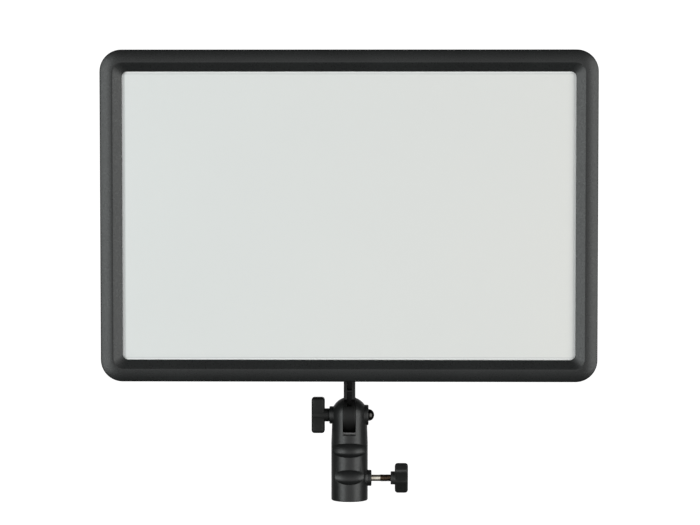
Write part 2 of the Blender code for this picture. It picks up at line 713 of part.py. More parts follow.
def power_switch(case_surface, rocker_surface):
    """A panel-mounted rocker switch, shown resting on its off side."""
    x, z = SWITCH_CENTRE
    bm = bmesh.new()
    half_x, half_z = SWITCH_HALF
    add_box(bm, (x - half_x, -4, z - half_z), (x + half_x, POD_BACK_Y + 0.8, z + half_z))
    case = new_object("power_switch_case", bm, case_surface)
    bezel = bmesh.new()
    half_x, half_z = SWITCH_BEZEL_HALF
    add_box(bezel, (x - half_x, POD_BACK_Y + GAP, z - half_z), (x + half_x, POD_BACK_Y + 1.8, z + half_z))
    join(case, bezel, "bezel")
    cavity = bmesh.new()
    half_x, half_z = SWITCH_CAVITY_HALF
    add_box(cavity, (x - half_x, 3.5, z - half_z), (x + half_x, POD_BACK_Y + 3, z + half_z))
    cut(case, cavity, "cavity")

    outline = [(-0.5, -7.4), (-2.5, -2), (-2.5, 2), (-0.5, 7.4), (4.2, 7.4), (2.9, 0), (4.2, -7.4)]
    bm = bmesh.new()
    add_prism(bm, outline, -5, 5)
    tilt = Matrix.Rotation(math.radians(SWITCH_TILT), 4, "X")
    bm.transform(Matrix.Translation((x, SWITCH_PIVOT_Y, z)) @ tilt)
    return [new_object("power_rocker", bm, rocker_surface)]


def dc_jack(surface):
    """The power inlet in the pod's underside, with its centre pin."""
    low = POD_CENTRE_Z - POD_HALF_HEIGHT - GAP - 1
    bm = bmesh.new()
    profile = [(0, JACK_LENGTH), (JACK_BODY_RADIUS, JACK_LENGTH), (JACK_BODY_RADIUS, JACK_FLANGE)]
    profile += [(JACK_FLANGE_RADIUS, JACK_FLANGE), (JACK_FLANGE_RADIUS, 0), (JACK_BORE, 0)]
    profile += [(JACK_BORE, JACK_DEPTH), (JACK_PIN_RADIUS, JACK_DEPTH), (JACK_PIN_RADIUS, 1.2), (0, 1)]
    add_turned(bm, profile, (JACK_X, JACK_Y, low), Z, 16)
    new_object("dc_jack", bm, surface)


# ---------------------------------------------------------------- battery plate


def battery_plate(surface):
    """The slide-on battery mount: base, hooked rails and the latch's guide well."""
    low_z, high_z = PLATE_Z
    bm = bmesh.new()
    add_box(bm, (-PLATE_HALF_WIDTH, PLATE_FRONT_Y, low_z), (PLATE_HALF_WIDTH, PLATE_FACE_Y, high_z))
    plate = new_object("battery_plate", bm, surface)
    rails = bmesh.new()
    for side in (-1, 1):
        root_y, hook_y = PLATE_FACE_Y - 0.5, RAIL_BACK_Y - RAIL_HOOK
        outline = [(RAIL_OUTER_X, root_y), (RAIL_OUTER_X, RAIL_BACK_Y), (RAIL_HOOK_X, RAIL_BACK_Y)]
        outline += [(RAIL_HOOK_X, hook_y), (RAIL_INNER_X, hook_y), (RAIL_INNER_X, root_y)]
        ends = (low_z, high_z - RAIL_SHORT_OF_TOP)
        add_loft(rails, [[Vector((side * x, y, z)) for x, y in outline] for z in ends])
    join(plate, rails, "rails")
    well = bmesh.new()
    half = WELL_HALF_WIDTH
    add_box(well, (-half, WELL_FRONT_Y, LATCH_Z - half), (half, PLATE_FRONT_Y + 0.5, LATCH_Z + half))
    join(plate, well, "well")
    bore = bmesh.new()
    half = LATCH_HALF_WIDTH + GAP
    add_box(bore, (-half, WELL_FRONT_Y + WELL_WALL, LATCH_Z - half), (half, LATCH_STOP_Y, LATCH_Z + half))
    cut(plate, bore, "well_bore")
    slots = bmesh.new()
    half = LATCH_TAB_HALF_WIDTH + GAP
    back_y = PLATE_FACE_Y + 1
    add_box(slots, (-half, 9, LATCH_Z - half), (half, back_y, LATCH_Z + half))
    half_width, half_height = CONTACT_HALF_WIDTH + GAP, CONTACT_HALF_HEIGHT + GAP
    for x in CONTACT_X:
        low = (x - half_width, PLATE_FRONT_Y - 1, CONTACT_Z - half_height)
        add_box(slots, low, (x + half_width, back_y, CONTACT_Z + half_height))
    cut(plate, slots, "slots")


def battery_contacts(surface):
    for number, x in enumerate(CONTACT_X, 1):
        bm = bmesh.new()
        low = (x - CONTACT_HALF_WIDTH, CONTACT_FRONT_Y, CONTACT_Z - CONTACT_HALF_HEIGHT)
        add_box(bm, low, (x + CONTACT_HALF_WIDTH, LATCH_BACK_Y, CONTACT_Z + CONTACT_HALF_HEIGHT))
        new_object(f"battery_contact_{number}", bm, surface)


def battery_latch(latch_surface, spring_surface):
    """The sprung catch that stops a battery from sliding off, and its coil spring."""
    half, step_y = LATCH_HALF_WIDTH, LATCH_STEP_Y
    bm = bmesh.new()
    add_box(bm, (-half, LATCH_FRONT_Y, LATCH_Z - half), (half, step_y, LATCH_Z + half))
    latch = new_object("battery_latch", bm, latch_surface)
    tab = bmesh.new()
    tab_half = LATCH_TAB_HALF_WIDTH
    outline = [(step_y - 1, -tab_half), (step_y - 1, tab_half), (LATCH_BACK_Y - 1.8, tab_half)]
    outline += [(LATCH_BACK_Y, -2), (LATCH_BACK_Y, -tab_half)]
    add_prism(tab, [(y, LATCH_Z - z) for y, z in outline], -tab_half, tab_half)
    join(latch, tab, "tab")

    low, high = WELL_FRONT_Y + WELL_WALL + GAP + SPRING_WIRE, LATCH_FRONT_Y - GAP - SPRING_WIRE
    steps = int(SPRING_STEPS * SPRING_TURNS)
    path = []
    for step in range(steps + 1):
        angle = 2 * math.pi * step / SPRING_STEPS
        across = Vector((math.cos(angle), 0, math.sin(angle))) * SPRING_RADIUS
        path.append(Vector((0, low + (high - low) * step / steps, LATCH_Z)) + across)
    tube("latch_spring", path, SPRING_WIRE, 0, spring_surface)
    return [latch]


# ---------------------------------------------------------------- arm and adapter


def tilt_arm(surface):
    """The tongue in the adapter, the ribbed arm above it and the foot screwed to the cover."""
    bm = bmesh.new()
    add_rod(bm, (-TONGUE_WIDTH / 2, 0, AXIS_Z), X, TONGUE_WIDTH, TONGUE_RADIUS, 36)
    arm = new_object("tilt_arm", bm, surface)
    web = bmesh.new()
    outline = [(ARM_FRONT_Y, AXIS_Z), (ARM_BACK_Y, AXIS_Z), (ARM_BACK_Y, AXIS_Z + ARM_SHOULDER)]
    outline += [(-1, FOOT_Z[1]), (ARM_FRONT_Y - 1, FOOT_Z[1])]
    outline += [(ARM_FRONT_Y - 1, FOOT_Z[0] + 2), (ARM_FRONT_Y, FOOT_Z[0] + 2)]
    add_prism(web, outline, -ARM_WIDTH / 2, ARM_WIDTH / 2)
    join(arm, web, "web")
    foot = bmesh.new()
    centre_z = (FOOT_Z[0] + FOOT_Z[1]) / 2
    half_height = (FOOT_Z[1] - FOOT_Z[0]) / 2
    ends = (COVER_BACK_Y + GAP, FOOT_BACK_Y)
    add_loft(foot, [ring_at(centre_z, FOOT_HALF_WIDTH, half_height, 4, y) for y in ends])
    join(arm, foot, "foot")
    holes = bmesh.new()
    add_rod(holes, (-TONGUE_WIDTH / 2 - 1, 0, AXIS_Z), X, TONGUE_WIDTH + 2, BOLT_HOLE_RADIUS, 20)
    for x in (-FOOT_SCREW_X, FOOT_SCREW_X):
        for z in FOOT_SCREW_Z:
            add_rod(holes, (x, ends[0] - 1, z), Y, 6, ARM_SCREW_HOLE, SCREW_STEPS)
    cut(arm, holes, "holes")
    recesses = bmesh.new()
    reach = ARM_RECESS_HALF_WIDTH
    for low, high in ((ARM_RECESS_Z[0], ARM_RIB_Z[0]), (ARM_RIB_Z[1], ARM_RECESS_Z[1])):
        add_box(recesses, (-reach, -14, low), (reach, ARM_FRONT_Y + ARM_RECESS_DEPTH, high))
    cut(arm, recesses, "recesses")


def arm_fixings(plate_surface, screw_surface):
    """The steel plate inside the cover and the four screws that clamp the arm to it."""
    bm = bmesh.new()
    back_y = COVER_INSIDE_Y - GAP
    half, (low_z, high_z) = BACKING_PLATE_HALF_WIDTH, BACKING_PLATE_Z
    add_box(bm, (-half, back_y - BACKING_PLATE_THICKNESS, low_z), (half, back_y, high_z))
    plate = new_object("arm_backing_plate", bm, plate_surface)
    holes = bmesh.new()
    places = [(x, z) for x in (-FOOT_SCREW_X, FOOT_SCREW_X) for z in FOOT_SCREW_Z]
    for x, z in places:
        add_rod(holes, (x, back_y - 3, z), Y, 4, ARM_SCREW_HOLE, SCREW_STEPS)
    cut(plate, holes, "holes")
    for number, (x, z) in enumerate(places, 1):
        screw(f"arm_screw_{number}", (x, FOOT_BACK_Y + GAP, z), -Y, *ARM_SCREW, screw_surface)


def adapter_profile():
    """(radius, height) up the adapter's outside: rounded foot, slight waist, domed top."""
    rounding = ADAPTER_ROUNDING
    points = [(0, 0), (ADAPTER_RADIUS - rounding, 0), (ADAPTER_RADIUS - 0.25, 0.25), (ADAPTER_RADIUS, rounding)]
    points += [(ADAPTER_RADIUS, SLOT_FLOOR_Z - 6), (ADAPTER_WAIST_RADIUS, AXIS_Z - 6), (ADAPTER_RADIUS, AXIS_Z)]
    dome_steps = 6
    for step in range(1, dome_steps + 1):
        angle = math.pi / 2 * step / dome_steps
        radius = ADAPTER_RADIUS * math.cos(angle) if step < dome_steps else 0
        points.append((radius, AXIS_Z + ADAPTER_RADIUS * math.sin(angle)))
    return points


def scallop_cutter(height, half_angle, half_height, side):
    """A lens-shaped tool that follows the body's curve and fades out at both ends."""
    rings = []
    for step in range(-SCALLOP_STEPS, SCALLOP_STEPS + 1):
        share = 0.985 * step / SCALLOP_STEPS
        fade = 1 - share**2
        angle = math.radians(half_angle * share)
        ring = []
        for part in (-3, -2, -1, 0, 1, 2, 3):
            reach = SCALLOP_REACH * part / 3
            side_height = 1 - SCALLOP_DEEPEST if reach > SCALLOP_DEEPEST else 1 + SCALLOP_DEEPEST
            slope = (reach - SCALLOP_DEEPEST) / side_height
            radius = ADAPTER_RADIUS - SCALLOP_DEPTH * fade * (1 - slope**2)
            across = Vector((radius * math.sin(angle), side * radius * math.cos(angle), 0))
            ring.append(across + Z * (height + half_height * math.sqrt(fade) * reach))
        rings.append(ring)
    bm = bmesh.new()
    add_loft(bm, rings)
    return bm


def boss_profile(radius, length):
    """(radius, height) of a round boss with a chamfered end."""
    chamfer = BOSS_CHAMFER
    return [(0, 0), (radius, 0), (radius, length - chamfer), (radius - chamfer, length), (0, length)]


def adapter_body(surface):
    """The swivel body: stand socket below, forked dome above, two finger scallops."""
    bm = bmesh.new()
    add_turned(bm, adapter_profile(), (0, 0, 0), Z, ADAPTER_STEPS)
    body = new_object("adapter_body", bm, surface)
    for height, half_angle, half_height in SCALLOPS:
        for side in (-1, 1):
            cut(body, scallop_cutter(height, half_angle, half_height, side), f"scallop_{height}_{side}")
    bosses = bmesh.new()
    inner = SLOT_HALF_WIDTH + 1
    add_turned(bosses, boss_profile(LEFT_BOSS_RADIUS, -LEFT_BOSS_END_X - inner), (-inner, 0, AXIS_Z), -X)
    add_turned(bosses, boss_profile(RIGHT_BOSS_RADIUS, RIGHT_BOSS_END_X - inner), (inner, 0, AXIS_Z), X)
    profile = boss_profile(LOCK_BOSS_RADIUS, LOCK_BOSS_END_X - LOCK_BOSS_START_X)
    root_radius = LOCK_BOSS_RADIUS + LOCK_BOSS_FLARE
    profile[1:2] = [(root_radius, 0), (root_radius, 3), (LOCK_BOSS_RADIUS, 3 + LOCK_BOSS_FLARE)]
    add_turned(bosses, profile, (LOCK_BOSS_START_X, 0, LOCK_Z), X)
    join(body, bosses, "bosses")
    hollows = bmesh.new()
    add_rod(hollows, (0, 0, -1), Z, SOCKET_DEPTH + 1, SOCKET_RADIUS, 32)
    add_box(hollows, (-SLOT_HALF_WIDTH, -20, SLOT_FLOOR_Z), (SLOT_HALF_WIDTH, 20, 80))
    cut(body, hollows, "hollows")
    bores = bmesh.new()
    add_rod(bores, (-20, 0, AXIS_Z), X, 40, BOLT_HOLE_RADIUS, 20)
    add_rod(bores, (6, 0, LOCK_Z), X, 12, INSERT_RADIUS + GAP, 20)
    cut(body, bores, "bores")


def tilt_bolt(surface):
    """The pivot bolt: domed head at +X, thread towards the tilt knob at -X."""
    start = RIGHT_BOSS_END_X + GAP
    length = start - BOLT_END_X
    profile = [(0, BOLT_HEAD_HEIGHT)]
    steps = 5
    for step in range(1, steps + 1):
        angle = math.pi / 2 * step / steps
        profile.append((BOLT_HEAD_RADIUS * math.sin(angle), BOLT_HEAD_HEIGHT * math.cos(angle)))
    profile[-1] = (BOLT_HEAD_RADIUS, 0)
    profile += [(BOLT_RADIUS, 0), (BOLT_RADIUS, 0.6 - length), (BOLT_RADIUS - 0.6, -length), (0, -length)]
    bm = bmesh.new()
    add_turned(bm, profile, (start, 0, AXIS_Z), X, 20)
    new_object("tilt_bolt", bm, surface)


def ring_piece(name, start, axis, length, outer, inner, surface):
    bm = bmesh.new()
    profile = [(outer, 0), (outer, length), (inner, length), (inner, 0)]
    add_turned(bm, profile, start, axis, 20)
    return new_object(name, bm, surface)


def wing_knob(name, start, axis, z, turn, surface):
    """A moulded wing knob: neck, round hub and two wings. start is its neck's end."""
    bm = bmesh.new()
    head = KNOB_NECK_LENGTH
    half = Vector((KNOB_HEAD_LENGTH / 2, KNOB_HALF_THICKNESS, KNOB_HALF_SPAN))
    middle = Vector((start + axis * (head + half.x), 0, z))
    add_box(bm, middle - half, middle + half)
    bmesh.ops.bevel(
        bm, geom=bm.edges[:], offset=KNOB_EDGE, offset_type="OFFSET", segments=2, profile=0.5, affect="EDGES"
    )
    turning = Matrix.Rotation(math.radians(turn), 4, "X")
    about = Matrix.Translation((0, 0, z)) @ turning @ Matrix.Translation((0, 0, -z))
    bm.transform(about)
    knob = new_object(name, bm, surface)
    hub = bmesh.new()
    top = head + KNOB_HEAD_LENGTH - 0.3
    profile = [(0, 0), (KNOB_NECK_RADIUS, 0), (KNOB_NECK_RADIUS, head - 0.2), (KNOB_HUB_RADIUS, head + 0.6)]
    profile += [(KNOB_HUB_RADIUS, top - 0.8), (KNOB_HUB_RADIUS - 0.8, top), (0, top)]
    add_turned(hub, profile, (start, 0, z), axis * X, 24)
    join(knob, hub, "hub")
    return knob


def tilt_lock(knob_surface, insert_surface):
    """The knob at -X and the threaded insert moulded into it."""
    knob = wing_knob("tilt_knob", TILT_KNOB_X, -1, AXIS_Z, 0, knob_surface)
    seat_x = TILT_KNOB_X - KNOB_NECK_LENGTH - 0.6
    hollow = bmesh.new()
    cavity = INSERT_RADIUS + GAP
    profile = [(0, -1), (BOLT_HOLE_RADIUS, -1), (BOLT_HOLE_RADIUS, 3.5), (cavity, 3.5), (cavity, 9.6), (0, 9.6)]
    add_turned(hollow, profile, (TILT_KNOB_X, 0, AXIS_Z), -X, 20)
    cut(knob, hollow, "hollow")
    insert = ring_piece(
        "tilt_knob_insert", (seat_x - GAP, 0, AXIS_Z), -X, 5.4, INSERT_RADIUS, BOLT_HOLE_RADIUS, insert_surface
    )
    return [insert], [knob]


def stand_lock(knob_surface, screw_surface, insert_surface):
    """The clamping screw at +X, its knob and the threaded insert in the adapter."""
    length = LOCK_BOSS_END_X - LOCK_BOSS_START_X
    start = (LOCK_BOSS_START_X, 0, LOCK_Z)
    ring_piece("stand_lock_insert", start, X, length, INSERT_RADIUS, BOLT_HOLE_RADIUS, insert_surface)
    bm = bmesh.new()
    length = LOCK_SCREW_END_X - LOCK_TIP_X
    profile = [(0, 0), (1.9, 0), (2.25, 0.5), (2.25, 14), (BOLT_RADIUS, 14.4), (BOLT_RADIUS, length), (0, length)]
    add_turned(bm, profile, (LOCK_TIP_X, 0, LOCK_Z), X, 20)
    shaft = new_object("stand_lock_screw", bm, screw_surface)
    knob = wing_knob("stand_lock_knob", LOCK_KNOB_X, 1, LOCK_Z, LOCK_KNOB_TURN, knob_surface)
    hollow = bmesh.new()
    add_rod(hollow, (LOCK_KNOB_X - 1, 0, LOCK_Z), X, LOCK_SCREW_END_X + GAP - LOCK_KNOB_X + 1, BOLT_HOLE_RADIUS, 20)
    cut(knob, hollow, "hollow")
    return [shaft], [knob]


# ---------------------------------------------------------------- assembly


def pivot(name, place, objects, parent=None):
    """An empty on a joint's axis, which its pieces follow."""
    empty = bpy.data.objects.new(name, None)
    empty.empty_display_size = 0.01
    bpy.context.collection.objects.link(empty)
    empty.location = Vector(place) * MM
    bpy.context.view_layer.update()
    if parent:
        empty.parent = parent
        empty.matrix_parent_inverse = parent.matrix_world.inverted()
        bpy.context.view_layer.update()
    for obj in objects:
        obj.parent = empty
        obj.matrix_parent_inverse = empty.matrix_world.inverted()
    return empty


def main():
    clear_scene()
    casing = material("casing_plastic", (0.03, 0.031, 0.032), 0.45)
    adapter = material("adapter_plastic", (0.035, 0.037, 0.038), 0.55)
    knob_plastic = material("knob_plastic", (0.022, 0.023, 0.023), 0.6)
    arm_plastic = material("arm_plastic", (0.02, 0.02, 0.02), 0.5)
    opal = material("diffuser_opal", (0.72, 0.74, 0.73), 0.45)
    clear = material("guide_acrylic", (0.9, 0.92, 0.93), 0.08, alpha=0.5)
    white_film = material("reflector_film", (0.85, 0.85, 0.85), 0.35)
    sheet_metal = material("sheet_aluminium", (0.6, 0.61, 0.62), 0.35, 1.0)
    steel = material("zinc_steel", (0.5, 0.49, 0.47), 0.3, 1.0)
    black_steel = material("black_steel", (0.03, 0.03, 0.03), 0.25, 1.0)
    brass = material("nickel_brass", (0.62, 0.52, 0.35), 0.3, 1.0)
    laminate = material("board_laminate", (0.02, 0.16, 0.07), 0.5)
    strip_white = material("strip_laminate", (0.8, 0.8, 0.78), 0.4)
    glass = material("display_glass", (0.02, 0.025, 0.03), 0.06)
    module = material("display_glass_stack", (0.3, 0.34, 0.3), 0.25)
    wire = material("lead_insulation", (0.25, 0.02, 0.02), 0.5)

    adapter_body(adapter)
    tilt_bolt(black_steel)
    tilt_insert, tilt_knob = tilt_lock(knob_plastic, brass)
    lock_screw, lock_knob = stand_lock(knob_plastic, steel, brass)

    outside_head = set(bpy.context.scene.objects)
    tilt_arm(arm_plastic)
    arm_fixings(steel, black_steel)
    front_frame(casing)
    rear_cover(casing)
    casing_screws(black_steel)
    slab("diffuser", DIFFUSER_HALF_WIDTH, STACK_HALF_HEIGHT, DIFFUSER_FRONT_Y, DIFFUSER_THICKNESS, opal)
    slab("light_guide", GUIDE_HALF_WIDTH, STACK_HALF_HEIGHT, GUIDE_FRONT_Y, GUIDE_THICKNESS, clear)
    reflector = (REFLECTOR_FRONT_Y, REFLECTOR_THICKNESS, white_film)
    slab("reflector_sheet", GUIDE_HALF_WIDTH, STACK_HALF_HEIGHT, *reflector)
    heat_spreader(sheet_metal)
    led_strip("led_strip_left", -1, strip_white)
    led_strip("led_strip_right", 1, strip_white)
    led_lead("led_lead_left", -1, wire)
    led_lead("led_lead_right", 1, wire)
    control_housing(casing)
    housing_screws(black_steel)
    driver_board(laminate)
    display(laminate, module, glass)
    plain_board("dial_board", *DIAL_BOARD, laminate)
    dc_jack(arm_plastic)
    battery_plate(casing)
    battery_contacts(brass)
    button = mode_button(arm_plastic, knob_plastic)
    brightness = dial("brightness", BRIGHTNESS_CENTRE, steel, steel, knob_plastic)
    colour = dial("colour", COLOUR_CENTRE, steel, steel, knob_plastic)
    rocker = power_switch(arm_plastic, arm_plastic)
    latch = battery_latch(knob_plastic, steel)

    made = set(bpy.context.scene.objects) - outside_head
    own_joint = set(button + brightness + colour + rocker + latch)
    rigid = sorted((obj for obj in made - own_joint if not obj.parent), key=lambda obj: obj.name)
    head = pivot("tilt_axis", (0, 0, AXIS_Z), rigid)
    pivot("mode_button_axis", (BUTTON_CENTRE[0], POD_BACK_Y, BUTTON_CENTRE[1]), button, head)
    for name, (x, z), pieces in (
        ("brightness_axis", BRIGHTNESS_CENTRE, brightness),
        ("colour_axis", COLOUR_CENTRE, colour),
    ):
        pivot(name, (x, POD_BACK_Y, z), pieces, head)
    pivot("power_rocker_axis", (SWITCH_CENTRE[0], SWITCH_PIVOT_Y, SWITCH_CENTRE[1]), rocker, head)
    pivot("battery_latch_axis", (0, LATCH_FRONT_Y, LATCH_Z), latch, head)
    nut = pivot("tilt_nut_axis", (TILT_KNOB_X, 0, AXIS_Z), tilt_insert)
    pivot("tilt_knob_axis", (TILT_KNOB_X, 0, AXIS_Z), tilt_knob, nut)
    lock = pivot("stand_lock_axis", (LOCK_KNOB_X, 0, LOCK_Z), lock_screw)
    pivot("stand_lock_knob_axis", (LOCK_KNOB_X, 0, LOCK_Z), lock_knob, lock)


main()
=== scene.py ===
import json
import math

import bmesh
import bpy
from mathutils import Matrix, Vector


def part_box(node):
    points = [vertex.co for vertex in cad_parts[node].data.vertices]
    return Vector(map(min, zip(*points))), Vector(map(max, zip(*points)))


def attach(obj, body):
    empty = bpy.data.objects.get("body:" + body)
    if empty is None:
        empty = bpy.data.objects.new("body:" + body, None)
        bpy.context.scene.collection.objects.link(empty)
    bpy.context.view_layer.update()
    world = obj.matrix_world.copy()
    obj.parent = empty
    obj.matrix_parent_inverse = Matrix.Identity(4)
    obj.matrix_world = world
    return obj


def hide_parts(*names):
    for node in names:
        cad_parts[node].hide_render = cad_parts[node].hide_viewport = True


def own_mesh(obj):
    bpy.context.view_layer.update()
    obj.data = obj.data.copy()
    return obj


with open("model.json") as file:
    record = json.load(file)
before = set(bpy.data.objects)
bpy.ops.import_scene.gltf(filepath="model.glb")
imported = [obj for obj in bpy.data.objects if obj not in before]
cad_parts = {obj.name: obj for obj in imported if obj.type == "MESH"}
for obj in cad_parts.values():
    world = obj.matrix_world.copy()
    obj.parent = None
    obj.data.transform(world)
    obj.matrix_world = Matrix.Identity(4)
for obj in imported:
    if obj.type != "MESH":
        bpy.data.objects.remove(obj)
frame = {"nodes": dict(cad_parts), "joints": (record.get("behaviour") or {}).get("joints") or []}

# Looks of the LED panel light. Shapes are in millimetres, as in the CAD source, and
# make_object() turns them into metres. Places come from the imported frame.

MM = 0.001
X, Y, Z = Vector((1, 0, 0)), Vector((0, 1, 0)), Vector((0, 0, 1))
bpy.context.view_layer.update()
JOINTS = {joint["name"]: joint for joint in frame["joints"]}


def box_mm(node):
    low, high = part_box(node)
    return low / MM, high / MM


# Panel and rim
FRAME_LOW, FRAME_HIGH = box_mm("front_frame")
PANEL_CENTRE_Z = (FRAME_LOW.z + FRAME_HIGH.z) / 2
PANEL_HALF_WIDTH = FRAME_HIGH.x
PANEL_HALF_HEIGHT = (FRAME_HIGH.z - FRAME_LOW.z) / 2
PANEL_CORNER = 15
RIM_ROUNDING = 0.5  # inset at which the outer face starts
RIM_SIDE_DEPTH = 2.9  # how far behind the crease the straight side starts
RIM_WALL = 2.2
FACE_RISE = 2.2  # how far the outer face comes forward towards the crease
FACE_EASE = 0.4  # how much the outer face flattens towards the crease
FACE_CORNER_LOSS = 7  # how much the corner radius shrinks across the outer face
CREASE_INSET = 8.7
LIP_INSET = 15
LIP_DEPTH = 3  # how far behind the crease the bevel ends
LIP_CORNER = 4
LIP_END_DEPTH = 4  # how far behind the crease the lip's inner face ends
DIFFUSER_CORNER = 3

# Swivel adapter
AXIS_Z = JOINTS["tilt"]["pos_m"][2] / MM
LOCK_AXIS = Vector(JOINTS["stand_lock_turn"]["pos_m"]) / MM
TILT_KNOB_X = JOINTS["tilt_knob_turn"]["pos_m"][0] / MM
ADAPTER_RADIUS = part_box("adapter_body")[1].y / MM
ADAPTER_WAIST = ADAPTER_RADIUS - 0.45
FOOT_ROUNDING = 0.8
TAPER_DROP = 6  # the taper runs from this far below the slot to this far below the axis
SLOT_HALF_WIDTH = 4.5
SLOT_FLOOR_Z = 46.2
SOCKET_RADIUS = 8.1
SOCKET_DEPTH = 30
SCALLOPS = ((35.9, 70, 5), (17.2, 53, 5.2))  # height, half angle in degrees, half height
SCALLOP_DEPTH = 2.6
SCALLOP_DEEPEST = -0.3  # where the deepest line is, as a share of the half height
SCALLOP_TIP = 0.985  # how much of the half angle the tool covers, since it thins to nothing
SCALLOP_OVERHANG = 1.3  # how far the tool reaches past the scallop, in half heights
KNOB_BOSS_RADIUS = 6.1
HEAD_BOSS_RADIUS = 7.15
HEAD_BOSS_END_X = 13.2
LOCK_BOSS_RADIUS = 5.6
LOCK_BOSS_FLARE = 0.8
LOCK_BOSS_START_X = 9
BOLT_BORE_RADIUS = 2.8
LOCK_BORE_RADIUS = 3.9
LOCK_BORE_X, LOCK_BORE_LENGTH = 6, 12

# Tongue, arm and foot
TONGUE_RIM = 0.9  # rounding of the disc's rim
TONGUE_GAP = 0.05  # clearance to the slot on each side
ARM_HALF_WIDTH = 3.95
ARM_FRONT_Y, ARM_BACK_Y, ARM_TOP_Y = -5, 8, -1
ARM_STRAIGHT = 16  # how far above the axis the arm's back starts to lean forwards
ARM_EDGE_BEVEL = 0.35
ARM_RECESS_HALF_WIDTH = 1.7
ARM_RECESS_DEPTH = 7
ARM_RECESS_START = 7  # above the axis
ARM_RIB_Z = (76, 77)  # the cross rib between the two recesses
FOOT_HEIGHT = 40
FOOT_FRONT_Y = -8.7
FOOT_OVERLAP = 0.3  # how far the foot reaches into the arm
FOOT_CORNER = 4
FOOT_SCREW_X = 15
FOOT_SCREW_HEIGHTS = (11, 33)  # above the foot's lower edge
FOOT_SCREW_RADIUS = 1.9

# Bolt, knobs, screw and dials
HEAD_SEAT = 0.25  # how far the bolt's head and the tilt knob's neck reach to the bosses
BOLT_HEAD_HEIGHT = 3.7
BOLT_HEAD_RADIUS = 4.1
BOLT_SHANK_RADIUS = 2.5
KNOB_NECK = 2.9
KNOB_HEAD = 9.2
KNOB_HUB_RADIUS = 4.6
KNOB_HALF_THICKNESS = 4.2
KNOB_ROUNDING = 2.3
KNOB_BORE_RADIUS = 2.8
KNOB_BORE_DEPTH = 9.7
INSERT_RADIUS = 3.9
INSERT_START, INSERT_END = 3.5, 9.6  # from the neck's end
LOCK_KNOB_TURN = 43  # degrees
SCREW_PITCH = 0.8
SCREW_TIP_RADIUS, SCREW_SHANK_RADIUS, SCREW_NECK_RADIUS, SCREW_RADIUS = 1.9, 2.25, 2.3, 2.5
SCREW_CHAMFER = 0.5
SHANK_END = 14
THREAD_START = 14.5
THREAD_DEPTH = 0.32
FLUTES = 24
FLUTE_DEPTH = 0.38
DIAL_SHAFT_RADIUS = 2.3
DIAL_STEM_RADIUS, DIAL_STEM_START = 4.2, 2.3
DIAL_SKIRT_RADIUS = 8.2  # inside the skirt

# Camera and light, in metres and degrees
CAMERA_LENS = 144
CAMERA_SENSOR = 36
CAMERA_DISTANCE = 1.91
CAMERA_PITCH = 3.2
CAMERA_YAW = 1
CAMERA_TARGET_X = 0.0009
CAMERA_BELOW_TOP = 0.145  # the picture's centre, below the panel's top edge
LIGHT_TARGET_Z = 0.17
SOFTBOX_DISTANCE = 2.3
SOFTBOX_HEIGHT = 2.6
SOFTBOX_LEVEL = 2.45
BACKGROUND_LEVEL = 1.1
FLOOR_Z = -2.6
FLOOR_SIZE = 40
FLOOR_GLOW = 0.95


# ---------------------------------------------------------------- meshes


def make_object(name, bm, surface=None, sharp=32):
    """An object from a mesh in millimetres, which is freed."""
    bmesh.ops.recalc_face_normals(bm, faces=bm.faces)
    bm.transform(Matrix.Scale(MM, 4))
    mesh = bpy.data.meshes.new(name)
    bm.to_mesh(mesh)
    bm.free()
    mesh.shade_smooth()
    mesh.set_sharp_from_angle(angle=math.radians(sharp))
    if surface:
        mesh.materials.append(surface)
    made = bpy.data.objects.new(name, mesh)
    bpy.context.scene.collection.objects.link(made)
    return made


def carve(target, bm, operation="DIFFERENCE", sharp=32):
    """Applies a Boolean with the given tool mesh to target."""
    tool = make_object("tool", bm)
    modifier = target.modifiers.new("carve", "BOOLEAN")
    modifier.operation = operation
    modifier.solver = "EXACT"
    modifier.object = tool
    bpy.context.view_layer.update()
    shaped = target.evaluated_get(bpy.context.evaluated_depsgraph_get())
    mesh = bpy.data.meshes.new_from_object(shaped)
    target.modifiers.clear()
    target.data = mesh
    mesh.shade_smooth()
    mesh.set_sharp_from_angle(angle=math.radians(sharp))
    bpy.data.objects.remove(tool)


def add_loft(bm, rings, closed=False):
    rows = [[bm.verts.new(point) for point in ring] for ring in rings]
    pairs = list(zip(rows, rows[1:] + rows[:1])) if closed else list(zip(rows, rows[1:]))
    for first, second in pairs:
        for i in range(len(first)):
            j = (i + 1) % len(first)
            bm.faces.new((first[i], first[j], second[j], second[i]))
    if not closed:
        bm.faces.new(rows[0])
        bm.faces.new(rows[-1])


def add_turned(bm, profile, origin, axis, segments=64, flute=None):
    """A closed profile of (radius, height) points turned about an axis; radius 0 is on it."""
    side = Z if abs(axis.dot(Z)) < 0.5 else X
    across = side.cross(axis)
    rows = []
    for radius, height in profile:
        centre = Vector(origin) + axis * height
        if radius == 0:
            rows.append([bm.verts.new(centre)])
            continue
        row = []
        for i in range(segments):
            angle = 2 * math.pi * i / segments
            reach = radius - (flute(angle, radius) if flute else 0)
            row.append(bm.verts.new(centre + reach * (side * math.cos(angle) + across * math.sin(angle))))
        rows.append(row)
    for first, second in zip(rows, rows[1:] + rows[:1]):
        for i in range(segments):
            j = (i + 1) % segments
            corners = [first[i % len(first)], first[j % len(first)]]
            corners += [second[j % len(second)], second[i % len(second)]]
            corners = list(dict.fromkeys(corners))
            if len(corners) > 2:
                bm.faces.new(corners)


def add_rod(bm, start, axis, length, radius, segments=64):
    add_turned(bm, [(0, 0), (radius, 0), (radius, length), (0, length)], start, axis, segments)


def add_box(bm, low, high):
    low, high = Vector(low), Vector(high)
    place = Matrix.Translation((low + high) / 2) @ Matrix.Diagonal((*(high - low), 1))
    bmesh.ops.create_cube(bm, size=1, matrix=place)


